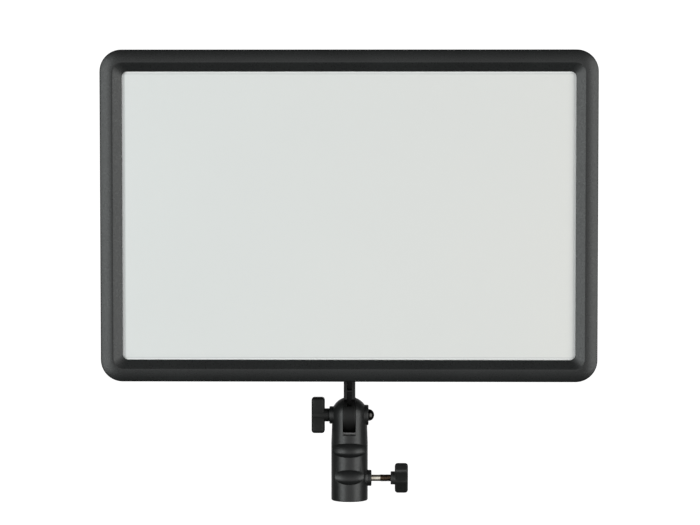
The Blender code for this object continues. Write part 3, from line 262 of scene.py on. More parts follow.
def quarter_turn(steps):
    """The angles from 0 to a right angle."""
    return [math.pi / 2 * step / steps for step in range(steps + 1)]


def panel_ring(inset, y, radius, steps=14):
    """Points round the panel, inset from its edge, at depth y."""
    half_width, half_height = PANEL_HALF_WIDTH - inset, PANEL_HALF_HEIGHT - inset
    points = []
    for corner in range(4):
        sign_x = (1, -1, -1, 1)[corner]
        sign_z = (1, 1, -1, -1)[corner]
        for step in range(steps + 1):
            angle = math.pi / 2 * (corner + step / steps)
            x = sign_x * (half_width - radius) + radius * math.cos(angle)
            z = sign_z * (half_height - radius) + radius * math.sin(angle)
            points.append(Vector((x, y, PANEL_CENTRE_Z + z)))
    return points


# ---------------------------------------------------------------- materials


def add_node(tree, kind, settings=None, inputs=None):
    made = tree.nodes.new(kind)
    for key, value in (settings or {}).items():
        setattr(made, key, value)
    for key, value in (inputs or {}).items():
        if isinstance(value, bpy.types.NodeSocket):
            tree.links.new(value, made.inputs[key])
        else:
            made.inputs[key].default_value = value
    return made


def math_node(tree, operation, first, second=0.0):
    return add_node(tree, "ShaderNodeMath", {"operation": operation}, {0: first, 1: second}).outputs[0]


def ramp(tree, value, start, end, low=0.0, high=1.0):
    """value mapped from start…end to low…high, clamped."""
    places = {"Value": value, "From Min": start, "From Max": end, "To Min": low, "To Max": high}
    return add_node(tree, "ShaderNodeMapRange", {"clamp": True}, places).outputs[0]


def noise(tree, vector, scale, detail=3.0):
    places = {"Vector": vector, "Scale": scale, "Detail": detail}
    return add_node(tree, "ShaderNodeTexNoise", None, places).outputs[0]


def cells(tree, vector, scale, randomness=1.0, settings=None):
    """How far each point is from the centre of its cell."""
    places = {"Vector": vector, "Scale": scale, "Randomness": randomness}
    return add_node(tree, "ShaderNodeTexVoronoi", settings, places).outputs["Distance"]


def blend_colour(tree, factor, first, second):
    places = {0: factor, 6: first, 7: second}
    return add_node(tree, "ShaderNodeMix", {"data_type": "RGBA"}, places).outputs[2]


def shade(colour, level):
    return (*(channel * level for channel in colour), 1)


def start_material(name):
    made = bpy.data.materials.new(name)
    made.use_nodes = True
    tree = made.node_tree
    vector = add_node(tree, "ShaderNodeTexCoord").outputs["Object"]
    return made, tree, tree.nodes["Principled BSDF"], vector


def contrast(tree, texture, low=0.0, high=1.0):
    """A noise texture's middle range, mapped to low…high."""
    return ramp(tree, texture, 0.3, 0.7, low, high)


def mottled(tree, texture, colour, tint):
    """The colour, darker and lighter by up to the share tint."""
    return blend_colour(tree, contrast(tree, texture), shade(colour, 1 - tint), shade(colour, 1 + tint))


def glaze(tree, under, factor, strength, colour):
    """Lays a colour over another by the factor times the strength."""
    return blend_colour(tree, math_node(tree, "MULTIPLY", factor, strength), under, (*colour, 1))


def soft_normal(tree, radius):
    """The surface's normal with its edges rounded."""
    return add_node(tree, "ShaderNodeBevel", {"samples": 4}, {"Radius": radius}).outputs[0]


def add_bump(tree, shader, height, strength, depth, normal=None):
    places = {"Strength": strength, "Distance": depth, "Height": height}
    if normal is not None:
        places["Normal"] = normal
    tree.links.new(add_node(tree, "ShaderNodeBump", None, places).outputs[0], shader.inputs["Normal"])


def reopen_material(made):
    """The tree, shader and object coordinates of a material that another function made."""
    tree = made.node_tree
    vector = next(node for node in tree.nodes if node.type == "TEX_COORD").outputs["Object"]
    return tree, tree.nodes["Principled BSDF"], vector


def moulded(name, colour, roughness, grain=2400, depth=0.00004, edge=0.0003, scuff_and_highlight=1.5, gloss=0.5):
    """Moulded plastic: fine grain, uneven gloss and colour, paler edges that are partly scuffing and partly
    a painted highlight.
    """
    made, tree, shader, vector = start_material(name)
    tint, spread, rubbed_gloss = 0.16, 0.07, 0.08
    broad = noise(tree, vector, 38, 4)
    fine = noise(tree, vector, grain, 2)
    speck = noise(tree, vector, 900, 2)
    soft = soft_normal(tree, edge)
    flat = add_node(tree, "ShaderNodeNewGeometry").outputs["Normal"]
    facing = add_node(tree, "ShaderNodeVectorMath", {"operation": "DOT_PRODUCT"}, {0: soft, 1: flat})
    # Paler, glossier edges: partly scuffing, partly a painted highlight along every edge.
    scuff_and_highlight_mask = ramp(tree, facing.outputs["Value"], 0.99, 0.86)
    scuff_and_highlight_mask = math_node(tree, "MULTIPLY", scuff_and_highlight_mask, ramp(tree, speck, 0.42, 0.62))
    scuffed_and_highlit = blend_colour(tree, scuff_and_highlight_mask, mottled(tree, broad, colour, tint), shade(colour, 1 + scuff_and_highlight))
    tree.links.new(scuffed_and_highlit, shader.inputs["Base Color"])
    rough = contrast(tree, speck, roughness - spread, roughness + spread)
    rough = math_node(tree, "SUBTRACT", rough, math_node(tree, "MULTIPLY", scuff_and_highlight_mask, rubbed_gloss))
    tree.links.new(rough, shader.inputs["Roughness"])
    shader.inputs["Specular IOR Level"].default_value = gloss
    add_bump(tree, shader, fine, 0.5, depth, soft)
    return made


def metal(name, colour, roughness, stretch=(1, 1, 1), tarnish=(0.5, 0.44, 0.38)):
    """Bare or plated metal: fine machining marks, patches of tarnish, uneven gloss."""
    made, tree, shader, vector = start_material(name)
    lines = add_node(tree, "ShaderNodeMapping", None, {"Vector": vector, "Scale": stretch}).outputs[0]
    marks = noise(tree, lines, 1500, 3)
    broad = noise(tree, vector, 160, 4)
    dull = Vector(colour) * 0.5 + Vector(tarnish) * 0.3
    body = blend_colour(tree, ramp(tree, broad, 0.4, 0.72), (*colour, 1), (*dull, 1))
    tree.links.new(body, shader.inputs["Base Color"])
    shader.inputs["Metallic"].default_value = 1
    tree.links.new(contrast(tree, marks, roughness * 0.75, roughness * 1.35), shader.inputs["Roughness"])
    add_bump(tree, shader, marks, 0.35, 0.00002, soft_normal(tree, 0.0002))
    return made


def clamp_metal(name, split_x):
    """The clamping screw's steel: bright on its plain end, browned on its thread."""
    made = metal(name, (0.95, 0.9, 0.78), 0.3, stretch=(8, 1, 1), tarnish=(0.5, 0.38, 0.26))
    tree, shader, vector = reopen_material(made)
    axes = add_node(tree, "ShaderNodeSeparateXYZ", None, {0: vector}).outputs
    half_fade = 0.0002
    threaded = ramp(tree, axes["X"], split_x - half_fade, split_x + half_fade)
    bright = shader.inputs["Base Color"].links[0].from_socket
    patches = ramp(tree, noise(tree, vector, 420, 3), 0.35, 0.65)
    browned = blend_colour(tree, patches, (0.045, 0.035, 0.028, 1), (0.11, 0.07, 0.045, 1))
    tree.links.new(blend_colour(tree, threaded, bright, browned), shader.inputs["Base Color"])
    return made


def plain_sheet(name, colour, roughness, grain=1800, clear=False):
    """Film, laminate, glass or lead insulation, with mottling and a fine surface."""
    made, tree, shader, vector = start_material(name)
    broad = noise(tree, vector, 90, 4)
    fine = noise(tree, vector, grain, 3)
    tree.links.new(mottled(tree, broad, colour, 0.06), shader.inputs["Base Color"])
    tree.links.new(contrast(tree, fine, roughness * 0.8, roughness * 1.2), shader.inputs["Roughness"])
    if clear:
        shader.inputs["Transmission Weight"].default_value = 0.9
        shader.inputs["IOR"].default_value = 1.49
    add_bump(tree, shader, fine, 0.3, 0.00002)
    return made


def circuit(name, colour):
    """Solder-masked board: traces as a faint raised pattern, slightly uneven green."""
    made, tree, shader, vector = start_material(name)
    tracks = ramp(tree, cells(tree, vector, 260, settings={"distance": "CHEBYCHEV"}), 0.35, 0.42)
    broad = noise(tree, vector, 120, 3)
    body = blend_colour(tree, tracks, mottled(tree, broad, colour, 0.15), shade(colour, 1.7))
    tree.links.new(body, shader.inputs["Base Color"])
    tree.links.new(contrast(tree, broad, 0.32, 0.48), shader.inputs["Roughness"])
    add_bump(tree, shader, tracks, 0.4, 0.00003)
    return made


def opal(name):
    """The diffuser: pale opal sheet, a faint line just inside its edge, a fine dot pattern, a painted
    highlight round its edge and painted shade along its left and right edges.
    """
    made, tree, shader, vector = start_material(name)
    axes = add_node(tree, "ShaderNodeSeparateXYZ", None, {0: vector}).outputs
    half_x = (PANEL_HALF_WIDTH - LIP_INSET) * MM
    half_z = (PANEL_HALF_HEIGHT - LIP_INSET) * MM
    line_inset = 0.0015
    height = math_node(tree, "SUBTRACT", axes["Z"], PANEL_CENTRE_Z * MM)
    from_side = math_node(tree, "SUBTRACT", half_x, math_node(tree, "ABSOLUTE", axes["X"]))
    from_end = math_node(tree, "SUBTRACT", half_z, math_node(tree, "ABSOLUTE", height))
    inside = math_node(tree, "MINIMUM", from_side, from_end)
    line = math_node(tree, "ABSOLUTE", math_node(tree, "SUBTRACT", inside, line_inset))
    line = ramp(tree, line, 0.0006, 0.0001)
    # rim: a painted highlight, paler within about a millimetre of the sheet's edge.
    rim = ramp(tree, inside, 0.0013, 0.0009)
    dots = ramp(tree, cells(tree, vector, 1150, 0.35), 0.25, 0.6)
    # left and right: painted shade along the sheet's side edges, the left band dotted, the right one fading
    # in over a few millimetres.
    left = ramp(tree, axes["X"], 0.0026 - half_x, 0.0018 - half_x)
    left = math_node(tree, "MULTIPLY", left, ramp(tree, dots, 0, 1, 0.55, 1))
    right = ramp(tree, axes["X"], half_x - 0.006, half_x - 0.0015)
    right = math_node(tree, "MULTIPLY", right, right)
    broad = contrast(tree, noise(tree, vector, 9, 2))
    warm = ramp(tree, axes["X"], -half_x, half_x)
    pale = blend_colour(tree, warm, (0.706, 0.724, 0.714, 1), (0.717, 0.713, 0.69, 1))
    pale = glaze(tree, pale, broad, 0.25, (0.68, 0.693, 0.683))
    pale = glaze(tree, pale, dots, 0.06, (0.6, 0.62, 0.61))
    # Painted highlight round the edge.
    pale = glaze(tree, pale, rim, 0.7, (0.88, 0.89, 0.88))
    pale = glaze(tree, pale, line, 0.45, (0.45, 0.46, 0.46))
    # Painted shade at the left and right edges.
    pale = glaze(tree, pale, left, 0.6, (0.42, 0.43, 0.43))
    pale = glaze(tree, pale, right, 0.45, (0.45, 0.46, 0.46))
    tree.links.new(pale, shader.inputs["Base Color"])
    tree.links.new(ramp(tree, dots, 0, 1, 0.5, 0.6), shader.inputs["Roughness"])
    shader.inputs["Specular IOR Level"].default_value = 0.25
    add_bump(tree, shader, dots, 0.25, 0.00003)
    return made


def stippled(name, colour, roughness, gloss):
    """Wing knobs: plastic with raised pips over the whole grip."""
    made = moulded(name, colour, roughness, 2600, 0.00005, edge=0.00035, gloss=gloss)
    tree, shader, vector = reopen_material(made)
    pips = ramp(tree, cells(tree, vector, 1000, 0.6), 0.5, 0.15)
    add_bump(tree, shader, pips, 0.6, 0.00012, shader.inputs["Normal"].links[0].from_socket)
    return made


# ---------------------------------------------------------------- pieces


def place(piece, body, slot, *nodes):
    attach(piece, body)
    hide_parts(*nodes)
    return piece


def bezel(surface):
    """The rim: domed outer face, soft crease, bevel down to the lip, lip and hollow back."""
    crease_y, back_y = FRAME_LOW.y, FRAME_HIGH.y
    # Each ring is (inset from the panel's edge, y, corner radius).
    section = [(0, back_y, PANEL_CORNER), (0, crease_y + RIM_SIDE_DEPTH, PANEL_CORNER)]
    section += [(0.08, crease_y + 2.6, PANEL_CORNER - 0.1), (0.24, crease_y + 2.38, PANEL_CORNER - 0.25)]
    steps = 16
    for step in range(steps + 1):
        share = step / steps
        inset = RIM_ROUNDING + share * (CREASE_INSET - 0.8)
        rise = FACE_RISE * (share - FACE_EASE * share**2) / (1 - FACE_EASE)
        corner = PANEL_CORNER - RIM_ROUNDING - FACE_CORNER_LOSS * share
        section.append((inset, crease_y + FACE_RISE - rise, corner))
    bevel_inset, bevel_depth, bevel_corner = CREASE_INSET + 0.45, 0.2, 6.9
    section.append((CREASE_INSET + 0.1, crease_y + 0.05, 7.2))
    for share in (0, 0.3, 0.6, 0.97):
        inset = bevel_inset + share * (LIP_INSET - bevel_inset)
        depth = bevel_depth + share * (LIP_DEPTH - bevel_depth)
        section.append((inset, crease_y + depth, bevel_corner + share * (LIP_CORNER - bevel_corner)))
    for depth in (LIP_DEPTH + 0.2, LIP_END_DEPTH):
        section.append((LIP_INSET, crease_y + depth, LIP_CORNER))
    for y in (crease_y + LIP_END_DEPTH, back_y):
        section.append((RIM_WALL, y, PANEL_CORNER - RIM_WALL))
    bm = bmesh.new()
    add_loft(bm, [panel_ring(*ring) for ring in section], closed=True)
    place(make_object("bezel", bm, surface, 30), "head", "casing_plastic", "front_frame")


def diffuser_sheet(surface):
    """The opal sheet, with rounded corners, as large as the CAD's."""
    low, high = box_mm("diffuser")
    half_height = (high.z - low.z) / 2
    rings = []
    for y in (low.y, high.y):
        ring = panel_ring(PANEL_HALF_WIDTH - high.x, y, DIFFUSER_CORNER, 6)
        share = half_height / max(point.z - PANEL_CENTRE_Z for point in ring)
        for point in ring:
            point.z = PANEL_CENTRE_Z + (point.z - PANEL_CENTRE_Z) * share
        rings.append(ring)
    bm = bmesh.new()
    add_loft(bm, rings)
    place(make_object("diffuser_sheet", bm, surface), "head", "diffuser_opal", "diffuser")


def adapter_profile():
    """Half outline of the swivel body: rounded foot, cylinder, slight taper, dome."""
    points = [(0, 0), (ADAPTER_RADIUS - FOOT_ROUNDING, 0)]
    for angle in quarter_turn(6)[1:]:
        radius = ADAPTER_RADIUS - FOOT_ROUNDING + FOOT_ROUNDING * math.sin(angle)
        points.append((radius, FOOT_ROUNDING - FOOT_ROUNDING * math.cos(angle)))
    points += [(ADAPTER_RADIUS, SLOT_FLOOR_Z - TAPER_DROP), (ADAPTER_WAIST, AXIS_Z - TAPER_DROP)]
    points.append((ADAPTER_RADIUS, AXIS_Z))
    for angle in quarter_turn(18)[1:-1]:
        points.append((ADAPTER_RADIUS * math.cos(angle), AXIS_Z + ADAPTER_RADIUS * math.sin(angle)))
    return points + [(0, AXIS_Z + ADAPTER_RADIUS)]


def boss(radius, length, rim=0.6, flare=0.0):
    """A round boss profile with a rounded rim, and a flare where it leaves the body."""
    points = [(0, 0), (radius + flare, 0)]
    if flare:
        points += [(radius + flare, length * 0.4), (radius + flare * 0.3, length * 0.5)]
        points.append((radius, length * 0.62))
    for angle in quarter_turn(4):
        points.append((radius - rim + rim * math.cos(angle), length - rim + rim * math.sin(angle)))
    return points + [(0, length)]


def scallop_cutter(height, half_angle, half_height, side):
    """A lens-shaped tool that follows the body's curve and fades out at both ends."""
    columns, rows = 24, 8  # to each side of the middle
    rings = []
    for column in range(-columns, columns + 1):
        share = SCALLOP_TIP * column / columns
        fade = 1 - share**2
        angle = math.radians(half_angle * share)
        ring = []
        for row in range(-rows, rows + 1):
            reach = SCALLOP_OVERHANG * row / rows
            side_height = 1 - SCALLOP_DEEPEST if reach > SCALLOP_DEEPEST else 1 + SCALLOP_DEEPEST
            slope = (reach - SCALLOP_DEEPEST) / side_height
            radius = ADAPTER_RADIUS - SCALLOP_DEPTH * fade * (1 - slope**2)
            across = Vector((radius * math.sin(angle), side * radius * math.cos(angle), 0))
            ring.append(across + Z * (height + half_height * math.sqrt(fade) * reach))
        rings.append(ring)
    bm = bmesh.new()
    add_loft(bm, rings)
    return bm


def swivel_body(surface):
    """The adapter: turned body with finger scallops, three bosses, slot, socket and bores."""
    low, high = box_mm("adapter_body")
    bm = bmesh.new()
    add_turned(bm, adapter_profile(), (0, 0, 0), Z, 112)
    body = make_object("swivel_body", bm, surface)
    for scallop in SCALLOPS:
        for side in (-1, 1):
            carve(body, scallop_cutter(*scallop, side))
    inner = SLOT_HALF_WIDTH + 1
    lock_length = high.x - LOCK_BOSS_START_X
    bosses = bmesh.new()
    add_turned(bosses, boss(KNOB_BOSS_RADIUS, -low.x - inner), (-inner, 0, AXIS_Z), -X)
    add_turned(bosses, boss(HEAD_BOSS_RADIUS, HEAD_BOSS_END_X - inner), (inner, 0, AXIS_Z), X)
    lock_boss = boss(LOCK_BOSS_RADIUS, lock_length, flare=LOCK_BOSS_FLARE)
    add_turned(bosses, lock_boss, (LOCK_BOSS_START_X, 0, LOCK_AXIS.z), X)
    carve(body, bosses, "UNION")
    clear, clear_top = 20, 80  # past the body on every side, and above it
    hollows = bmesh.new()
    add_rod(hollows, (0, 0, -1), Z, SOCKET_DEPTH + 1, SOCKET_RADIUS)
    add_box(hollows, (-SLOT_HALF_WIDTH, -clear, SLOT_FLOOR_Z), (SLOT_HALF_WIDTH, clear, clear_top))
    carve(body, hollows)
    bores = bmesh.new()
    add_rod(bores, (-clear, 0, AXIS_Z), X, 2 * clear, BOLT_BORE_RADIUS, 40)
    add_rod(bores, (LOCK_BORE_X, 0, LOCK_AXIS.z), X, LOCK_BORE_LENGTH, LOCK_BORE_RADIUS, 40)
    carve(body, bores)
    place(body, "root", "adapter_plastic", "adapter_body")


def tongue_disc(radius, half_width):
    """The disc in the slot, with a rounded rim."""
    thickness = 2 * half_width
    rim = []
    for angle in quarter_turn(6):
        rim.append((radius - TONGUE_RIM * (1 - math.sin(angle)), TONGUE_RIM * (1 - math.cos(angle))))
    profile = [(0, 0)] + rim + [(r, thickness - height) for r, height in reversed(rim)] + [(0, thickness)]
    disc = bmesh.new()
    add_turned(disc, profile, (-half_width, 0, AXIS_Z), X, 96)
    return disc


def swivel_tongue(surface):
    """The tongue's disc, the ribbed arm above it, and the foot screwed to the cover."""
    low, high = box_mm("tilt_arm")
    foot_low = high.z - FOOT_HEIGHT
    disc = tongue_disc(AXIS_Z - low.z, SLOT_HALF_WIDTH - TONGUE_GAP)
    tongue = make_object("swivel_tongue", disc, surface)
    outline = [(ARM_FRONT_Y, AXIS_Z), (ARM_BACK_Y, AXIS_Z), (ARM_BACK_Y, AXIS_Z + ARM_STRAIGHT)]
    outline += [(ARM_TOP_Y, high.z), (ARM_FRONT_Y - 1, high.z)]
    outline += [(ARM_FRONT_Y - 1, foot_low + 2), (ARM_FRONT_Y, foot_low + 2)]
    web = bmesh.new()
    add_loft(web, [[Vector((x, y, z)) for y, z in outline] for x in (-ARM_HALF_WIDTH, ARM_HALF_WIDTH)])
    bmesh.ops.bevel(web, geom=web.edges[:], offset=ARM_EDGE_BEVEL, segments=3, profile=0.5, affect="EDGES")
    carve(tongue, web, "UNION")
    foot = bmesh.new()
    add_box(foot, (low.x, FOOT_FRONT_Y, foot_low), (high.x, ARM_FRONT_Y + FOOT_OVERLAP, high.z))
    uprights = [edge for edge in foot.edges if abs((edge.verts[0].co - edge.verts[1].co).y) > 1]
    bmesh.ops.bevel(foot, geom=uprights, offset=FOOT_CORNER, segments=10, profile=0.5, affect="EDGES")
    carve(tongue, foot, "UNION")
    holes = bmesh.new()
    add_rod(holes, (-2 * SLOT_HALF_WIDTH, 0, AXIS_Z), X, 4 * SLOT_HALF_WIDTH, BOLT_BORE_RADIUS, 40)
    for x in (-FOOT_SCREW_X, FOOT_SCREW_X):
        for height in FOOT_SCREW_HEIGHTS:
            add_rod(holes, (x, -10, foot_low + height), Y, 7, FOOT_SCREW_RADIUS, 32)
    carve(tongue, holes)
    recesses = bmesh.new()
    floor_y = ARM_FRONT_Y + ARM_RECESS_DEPTH
    rib_low, rib_high = ARM_RIB_Z
    for bottom, top in ((AXIS_Z + ARM_RECESS_START, rib_low), (rib_high, foot_low)):
        add_box(recesses, (-ARM_RECESS_HALF_WIDTH, -14, bottom), (ARM_RECESS_HALF_WIDTH, floor_y, top))
    carve(tongue, recesses)
    place(tongue, "head", "arm_plastic", "tilt_arm")


def pivot_bolt(surface):
    """The pivot bolt: a domed head, and a shank chamfered at its end."""
    low, high = box_mm("tilt_bolt")
    start = high.x - BOLT_HEAD_HEIGHT
    length = start - low.x
    chamfer = 0.6
    profile = [(0, BOLT_HEAD_HEIGHT)]
    for angle in quarter_turn(12)[1:-1]:
        profile.append((BOLT_HEAD_RADIUS * math.sin(angle), BOLT_HEAD_HEIGHT * math.cos(angle)))
    profile += [(BOLT_HEAD_RADIUS, 0), (BOLT_HEAD_RADIUS - 0.1, -HEAD_SEAT), (BOLT_SHANK_RADIUS, -HEAD_SEAT)]
    profile += [(BOLT_SHANK_RADIUS, chamfer - length), (BOLT_SHANK_RADIUS - chamfer, -length), (0, -length)]
    bm = bmesh.new()
    add_turned(bm, profile, (start, 0, AXIS_Z), X)
    place(make_object("pivot_bolt", bm, surface), "root", "black_steel", "tilt_bolt")


def wing_grip(name, start, side, z, turn, surface, cavity=0):
    """A wing knob: neck, hub, two rounded wings, and a cavity where it holds an insert."""
    low, high = box_mm("tilt_knob")
    half = Vector((KNOB_HEAD / 2, KNOB_HALF_THICKNESS, (high.z - low.z) / 2))
    middle = Vector((start + side * (KNOB_NECK + half.x), 0, z))
    wings = bmesh.new()
    add_box(wings, middle - half, middle + half)
    shape = {"offset_type": "OFFSET", "segments": 6, "profile": 0.55, "affect": "EDGES"}
    bmesh.ops.bevel(wings, geom=wings.edges[:], offset=KNOB_ROUNDING, **shape)
    turning = Matrix.Rotation(math.radians(turn), 4, "X")
    wings.transform(Matrix.Translation((0, 0, z)) @ turning @ Matrix.Translation((0, 0, -z)))
    grip = make_object(name, wings, surface, 40)
    top = KNOB_NECK + KNOB_HEAD - 0.1
    radius = KNOB_HUB_RADIUS
    seat = HEAD_SEAT if cavity else 0
    profile = [(0, -seat), (radius - 0.2, -seat), (radius, 0.2 - seat), (radius, KNOB_NECK - 0.2)]
    profile += [(radius, KNOB_NECK + 0.3), (radius, top - 1), (radius - 0.15, top - 0.55)]
    profile += [(radius - 0.5, top - 0.2), (radius - 1, top), (0, top)]
    hub = bmesh.new()
    add_turned(hub, profile, (start, 0, z), side * X)
    carve(grip, hub, "UNION", 40)
    bore = KNOB_BORE_RADIUS
    profile = [(0, -1), (bore, -1), (bore, KNOB_BORE_DEPTH), (0, KNOB_BORE_DEPTH)]
    if cavity:
        profile = [(0, -1), (bore, -1), (bore, INSERT_START), (cavity, INSERT_START)]
        profile += [(cavity, INSERT_END), (0, INSERT_END)]
    hollow = bmesh.new()
    add_turned(hollow, profile, (start, 0, z), side * X, 40)
    carve(grip, hollow, sharp=40)
    return grip


def screw_radius(height, angle):
    """The clamping screw's radius: chamfered tip, plain turned end, neck, helical thread."""
    if height < SCREW_CHAMFER:
        return SCREW_TIP_RADIUS + (SCREW_SHANK_RADIUS - SCREW_TIP_RADIUS) * height / SCREW_CHAMFER
    if height < SHANK_END:
        return SCREW_SHANK_RADIUS
    if height < THREAD_START:
        return SCREW_NECK_RADIUS
    phase = (height / SCREW_PITCH - angle / (2 * math.pi)) % 1
    return SCREW_RADIUS - THREAD_DEPTH * (1 - abs(2 * phase - 1)) ** 1.3


def clamp_screw(surface):
    """The clamping screw, with a real helical thread."""
    low, high = box_mm("stand_lock_screw")
    length = high.x - low.x
    segments, per_turn = 36, 8
    heights = [0, SCREW_CHAMFER / 2, SCREW_CHAMFER, 5, 10, SHANK_END - 0.1, SHANK_END + 0.1, SHANK_END + 0.3]
    count = int((length - THREAD_START - 0.4) / SCREW_PITCH * per_turn)
    heights += [THREAD_START + SCREW_PITCH / per_turn * step for step in range(count)]
    rings = []
    for height in heights + [length]:
        ring = []
        for i in range(segments):
            angle = 2 * math.pi * i / segments
            spoke = Vector((0, math.cos(angle), math.sin(angle)))
            ring.append(Vector((low.x + height, 0, LOCK_AXIS.z)) + spoke * screw_radius(height, angle))
        rings.append(ring)
    bm = bmesh.new()
    add_loft(bm, rings)
    piece = make_object("clamp_screw", bm, surface, 45)
    place(piece, "stand_lock_screw", "zinc_steel", "stand_lock_screw")


def fluted_cap(name, node, body, surface):
    """A dial with rounded flutes, a chamfered rim and a shallow dish on its face."""
    low, high = box_mm(node)
    centre = (low + high) / 2
    depth = high.y - low.y
    outer = high.x - centre.x
    stem_end = depth - 2.4

    def flute(angle, radius):
        return FLUTE_DEPTH * abs(math.sin(FLUTES / 2 * angle)) ** 3 if radius > outer - 0.75 else 0

    profile = [(0, depth - 0.5), (0, depth - 1.7), (DIAL_SHAFT_RADIUS, depth - 1.7)]
    profile += [(DIAL_SHAFT_RADIUS, DIAL_STEM_START), (DIAL_STEM_RADIUS, DIAL_STEM_START)]
    profile += [(DIAL_STEM_RADIUS, stem_end), (DIAL_SKIRT_RADIUS, stem_end), (DIAL_SKIRT_RADIUS, 0)]
    profile += [(outer - 0.3, 0), (outer, 0.3), (outer, depth - 1.2), (outer - 0.25, depth - 0.7)]
    profile += [(outer - 0.6, depth - 0.3), (outer - 1.2, depth), (outer - 1.9, depth)]
    profile += [(outer - 2.3, depth - 0.35), (outer - 3.2, depth - 0.5)]
    bm = bmesh.new()
    add_turned(bm, profile, (centre.x, low.y, centre.z), Y, 8 * FLUTES, flute)
    place(make_object(name, bm, surface, 40), body, "knob_plastic", node)


def catch_spring(surface):
    """The latch's coil spring, at its rest length; the real one shortens as the latch is pressed."""
    low, high = box_mm("latch_spring")
    centre = (low + high) / 2
    wire, turns, per_turn, sides = 0.35, 4.5, 28, 12
    coil = (high.x - low.x) / 2 - wire
    around = [2 * math.pi * i / sides for i in range(sides)]
    rings = []
    total = int(per_turn * turns)
    for step in range(total + 1):
        angle = 2 * math.pi * step / per_turn
        out = Vector((math.cos(angle), 0, math.sin(angle)))
        y = low.y + wire + (high.y - low.y - 2 * wire) * step / total
        middle = Vector((centre.x, y, centre.z)) + out * coil
        rings.append([middle + wire * (out * math.cos(a) + Y * math.sin(a)) for a in around])
    bm = bmesh.new()
    add_loft(bm, rings)
    spring = place(make_object("catch_spring", bm, surface, 60), "head", "zinc_steel", "latch_spring")
    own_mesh(spring)


def dress(nodes, surface):
    """Puts a material on CAD nodes that are carried over."""
    for name in nodes:
        materials = frame["nodes"][name].data.materials
        materials.clear()
        materials.append(surface)


# ---------------------------------------------------------------- stage


def add_camera():
    """A long lens on the panel's front, a little above it and to its right."""
    data = bpy.data.cameras.new("camera")
    data.lens = CAMERA_LENS
    data.sensor_width = CAMERA_SENSOR
    camera = bpy.data.objects.new("camera", data)
    bpy.context.scene.collection.objects.link(camera)
    pitch, yaw = math.radians(CAMERA_PITCH), math.radians(CAMERA_YAW)
    target = Vector((CAMERA_TARGET_X, FRAME_LOW.y * MM, FRAME_HIGH.z * MM - CAMERA_BELOW_TOP))
    away = Vector((math.sin(yaw) * math.cos(pitch), -math.cos(yaw) * math.cos(pitch), math.sin(pitch)))
    camera.location = target + CAMERA_DISTANCE * away
    camera.rotation_euler = (math.pi / 2 - pitch, 0, yaw)
    bpy.context.scene.camera = camera


def add_softbox(
    name, azimuth, width, level, elevation=0, distance=SOFTBOX_DISTANCE, height=SOFTBOX_HEIGHT,
    colour=(1, 1, 1), gleams=True,
):
    """An area light facing the panel; azimuth 0 is in front of it and 90 on its +X side."""
    data = bpy.data.lights.new(name, "AREA")
    data.shape = "RECTANGLE"
    data.size = width
    data.size_y = height
    data.energy = level * math.pi * width * height
    data.color = colour
    light = bpy.data.objects.new(name, data)
    bpy.context.scene.collection.objects.link(light)
    a, e = math.radians(azimuth), math.radians(elevation)
    out = Vector((math.sin(a) * math.cos(e), -math.cos(a) * math.cos(e), math.sin(e)))
    light.location = Vector((0, 0, LIGHT_TARGET_Z)) + out * distance
    light.rotation_euler = out.to_track_quat("Z", "Y").to_euler()
    light.visible_camera = False
    light.visible_glossy = gleams


def add_world():
    """White where the camera sees it, and a dimmer fill light from the front and the back."""
    world = bpy.data.worlds.new("world")
    bpy.context.scene.world = world
    world.use_nodes = True
    tree = world.node_tree
    tree.nodes.clear()
    white = (1, 1, 1, 1)
    seen = add_node(tree, "ShaderNodeBackground", None, {"Color": white, "Strength": BACKGROUND_LEVEL})
    direction = add_node(tree, "ShaderNodeTexCoord").outputs["Generated"]
    axes = add_node(tree, "ShaderNodeSeparateXYZ", None, {0: direction}).outputs
    by_height = ramp(tree, math_node(tree, "ABSOLUTE", axes["Z"]), 0.08, 0.85, 0.9, 0.14)
    from_front = ramp(tree, axes["Y"], -0.92, -0.25, 1, 0.12)
    from_back = ramp(tree, axes["Y"], 0.55, 0.92, 0, 0.45)
    level = math_node(tree, "MULTIPLY", by_height, from_front)
    level = math_node(tree, "ADD", level, from_back)
    fill = add_node(tree, "ShaderNodeBackground", None, {"Color": white, "Strength": level})
    path = add_node(tree, "ShaderNodeLightPath").outputs["Is Camera Ray"]
    places = {0: path, 1: fill.outputs[0], 2: seen.outputs[0]}
    mixed = add_node(tree, "ShaderNodeMixShader", None, places)
    output = add_node(tree, "ShaderNodeOutputWorld")
    tree.links.new(mixed.outputs[0], output.inputs["Surface"])


def add_floor():
    """A wide pale floor well below the object. It glows, to stay as pale as the background."""
    bm = bmesh.new()
    bmesh.ops.create_grid(bm, x_segments=1, y_segments=1, size=FLOOR_SIZE / MM)
    bm.transform(Matrix.Translation((0, 0, FLOOR_Z / MM)))
    surface = bpy.data.materials.new("pale_floor")
    surface.use_nodes = True
    shader = surface.node_tree.nodes["Principled BSDF"]
    shader.inputs["Base Color"].default_value = (0.92, 0.92, 0.92, 1)
    shader.inputs["Roughness"].default_value = 0.9
    shader.inputs["Emission Color"].default_value = (1, 1, 1, 1)
    shader.inputs["Emission Strength"].default_value = FLOOR_GLOW
    floor = make_object("floor", bm, surface)
    floor.visible_diffuse = False
    floor.visible_glossy = False
    floor.visible_transmission = False


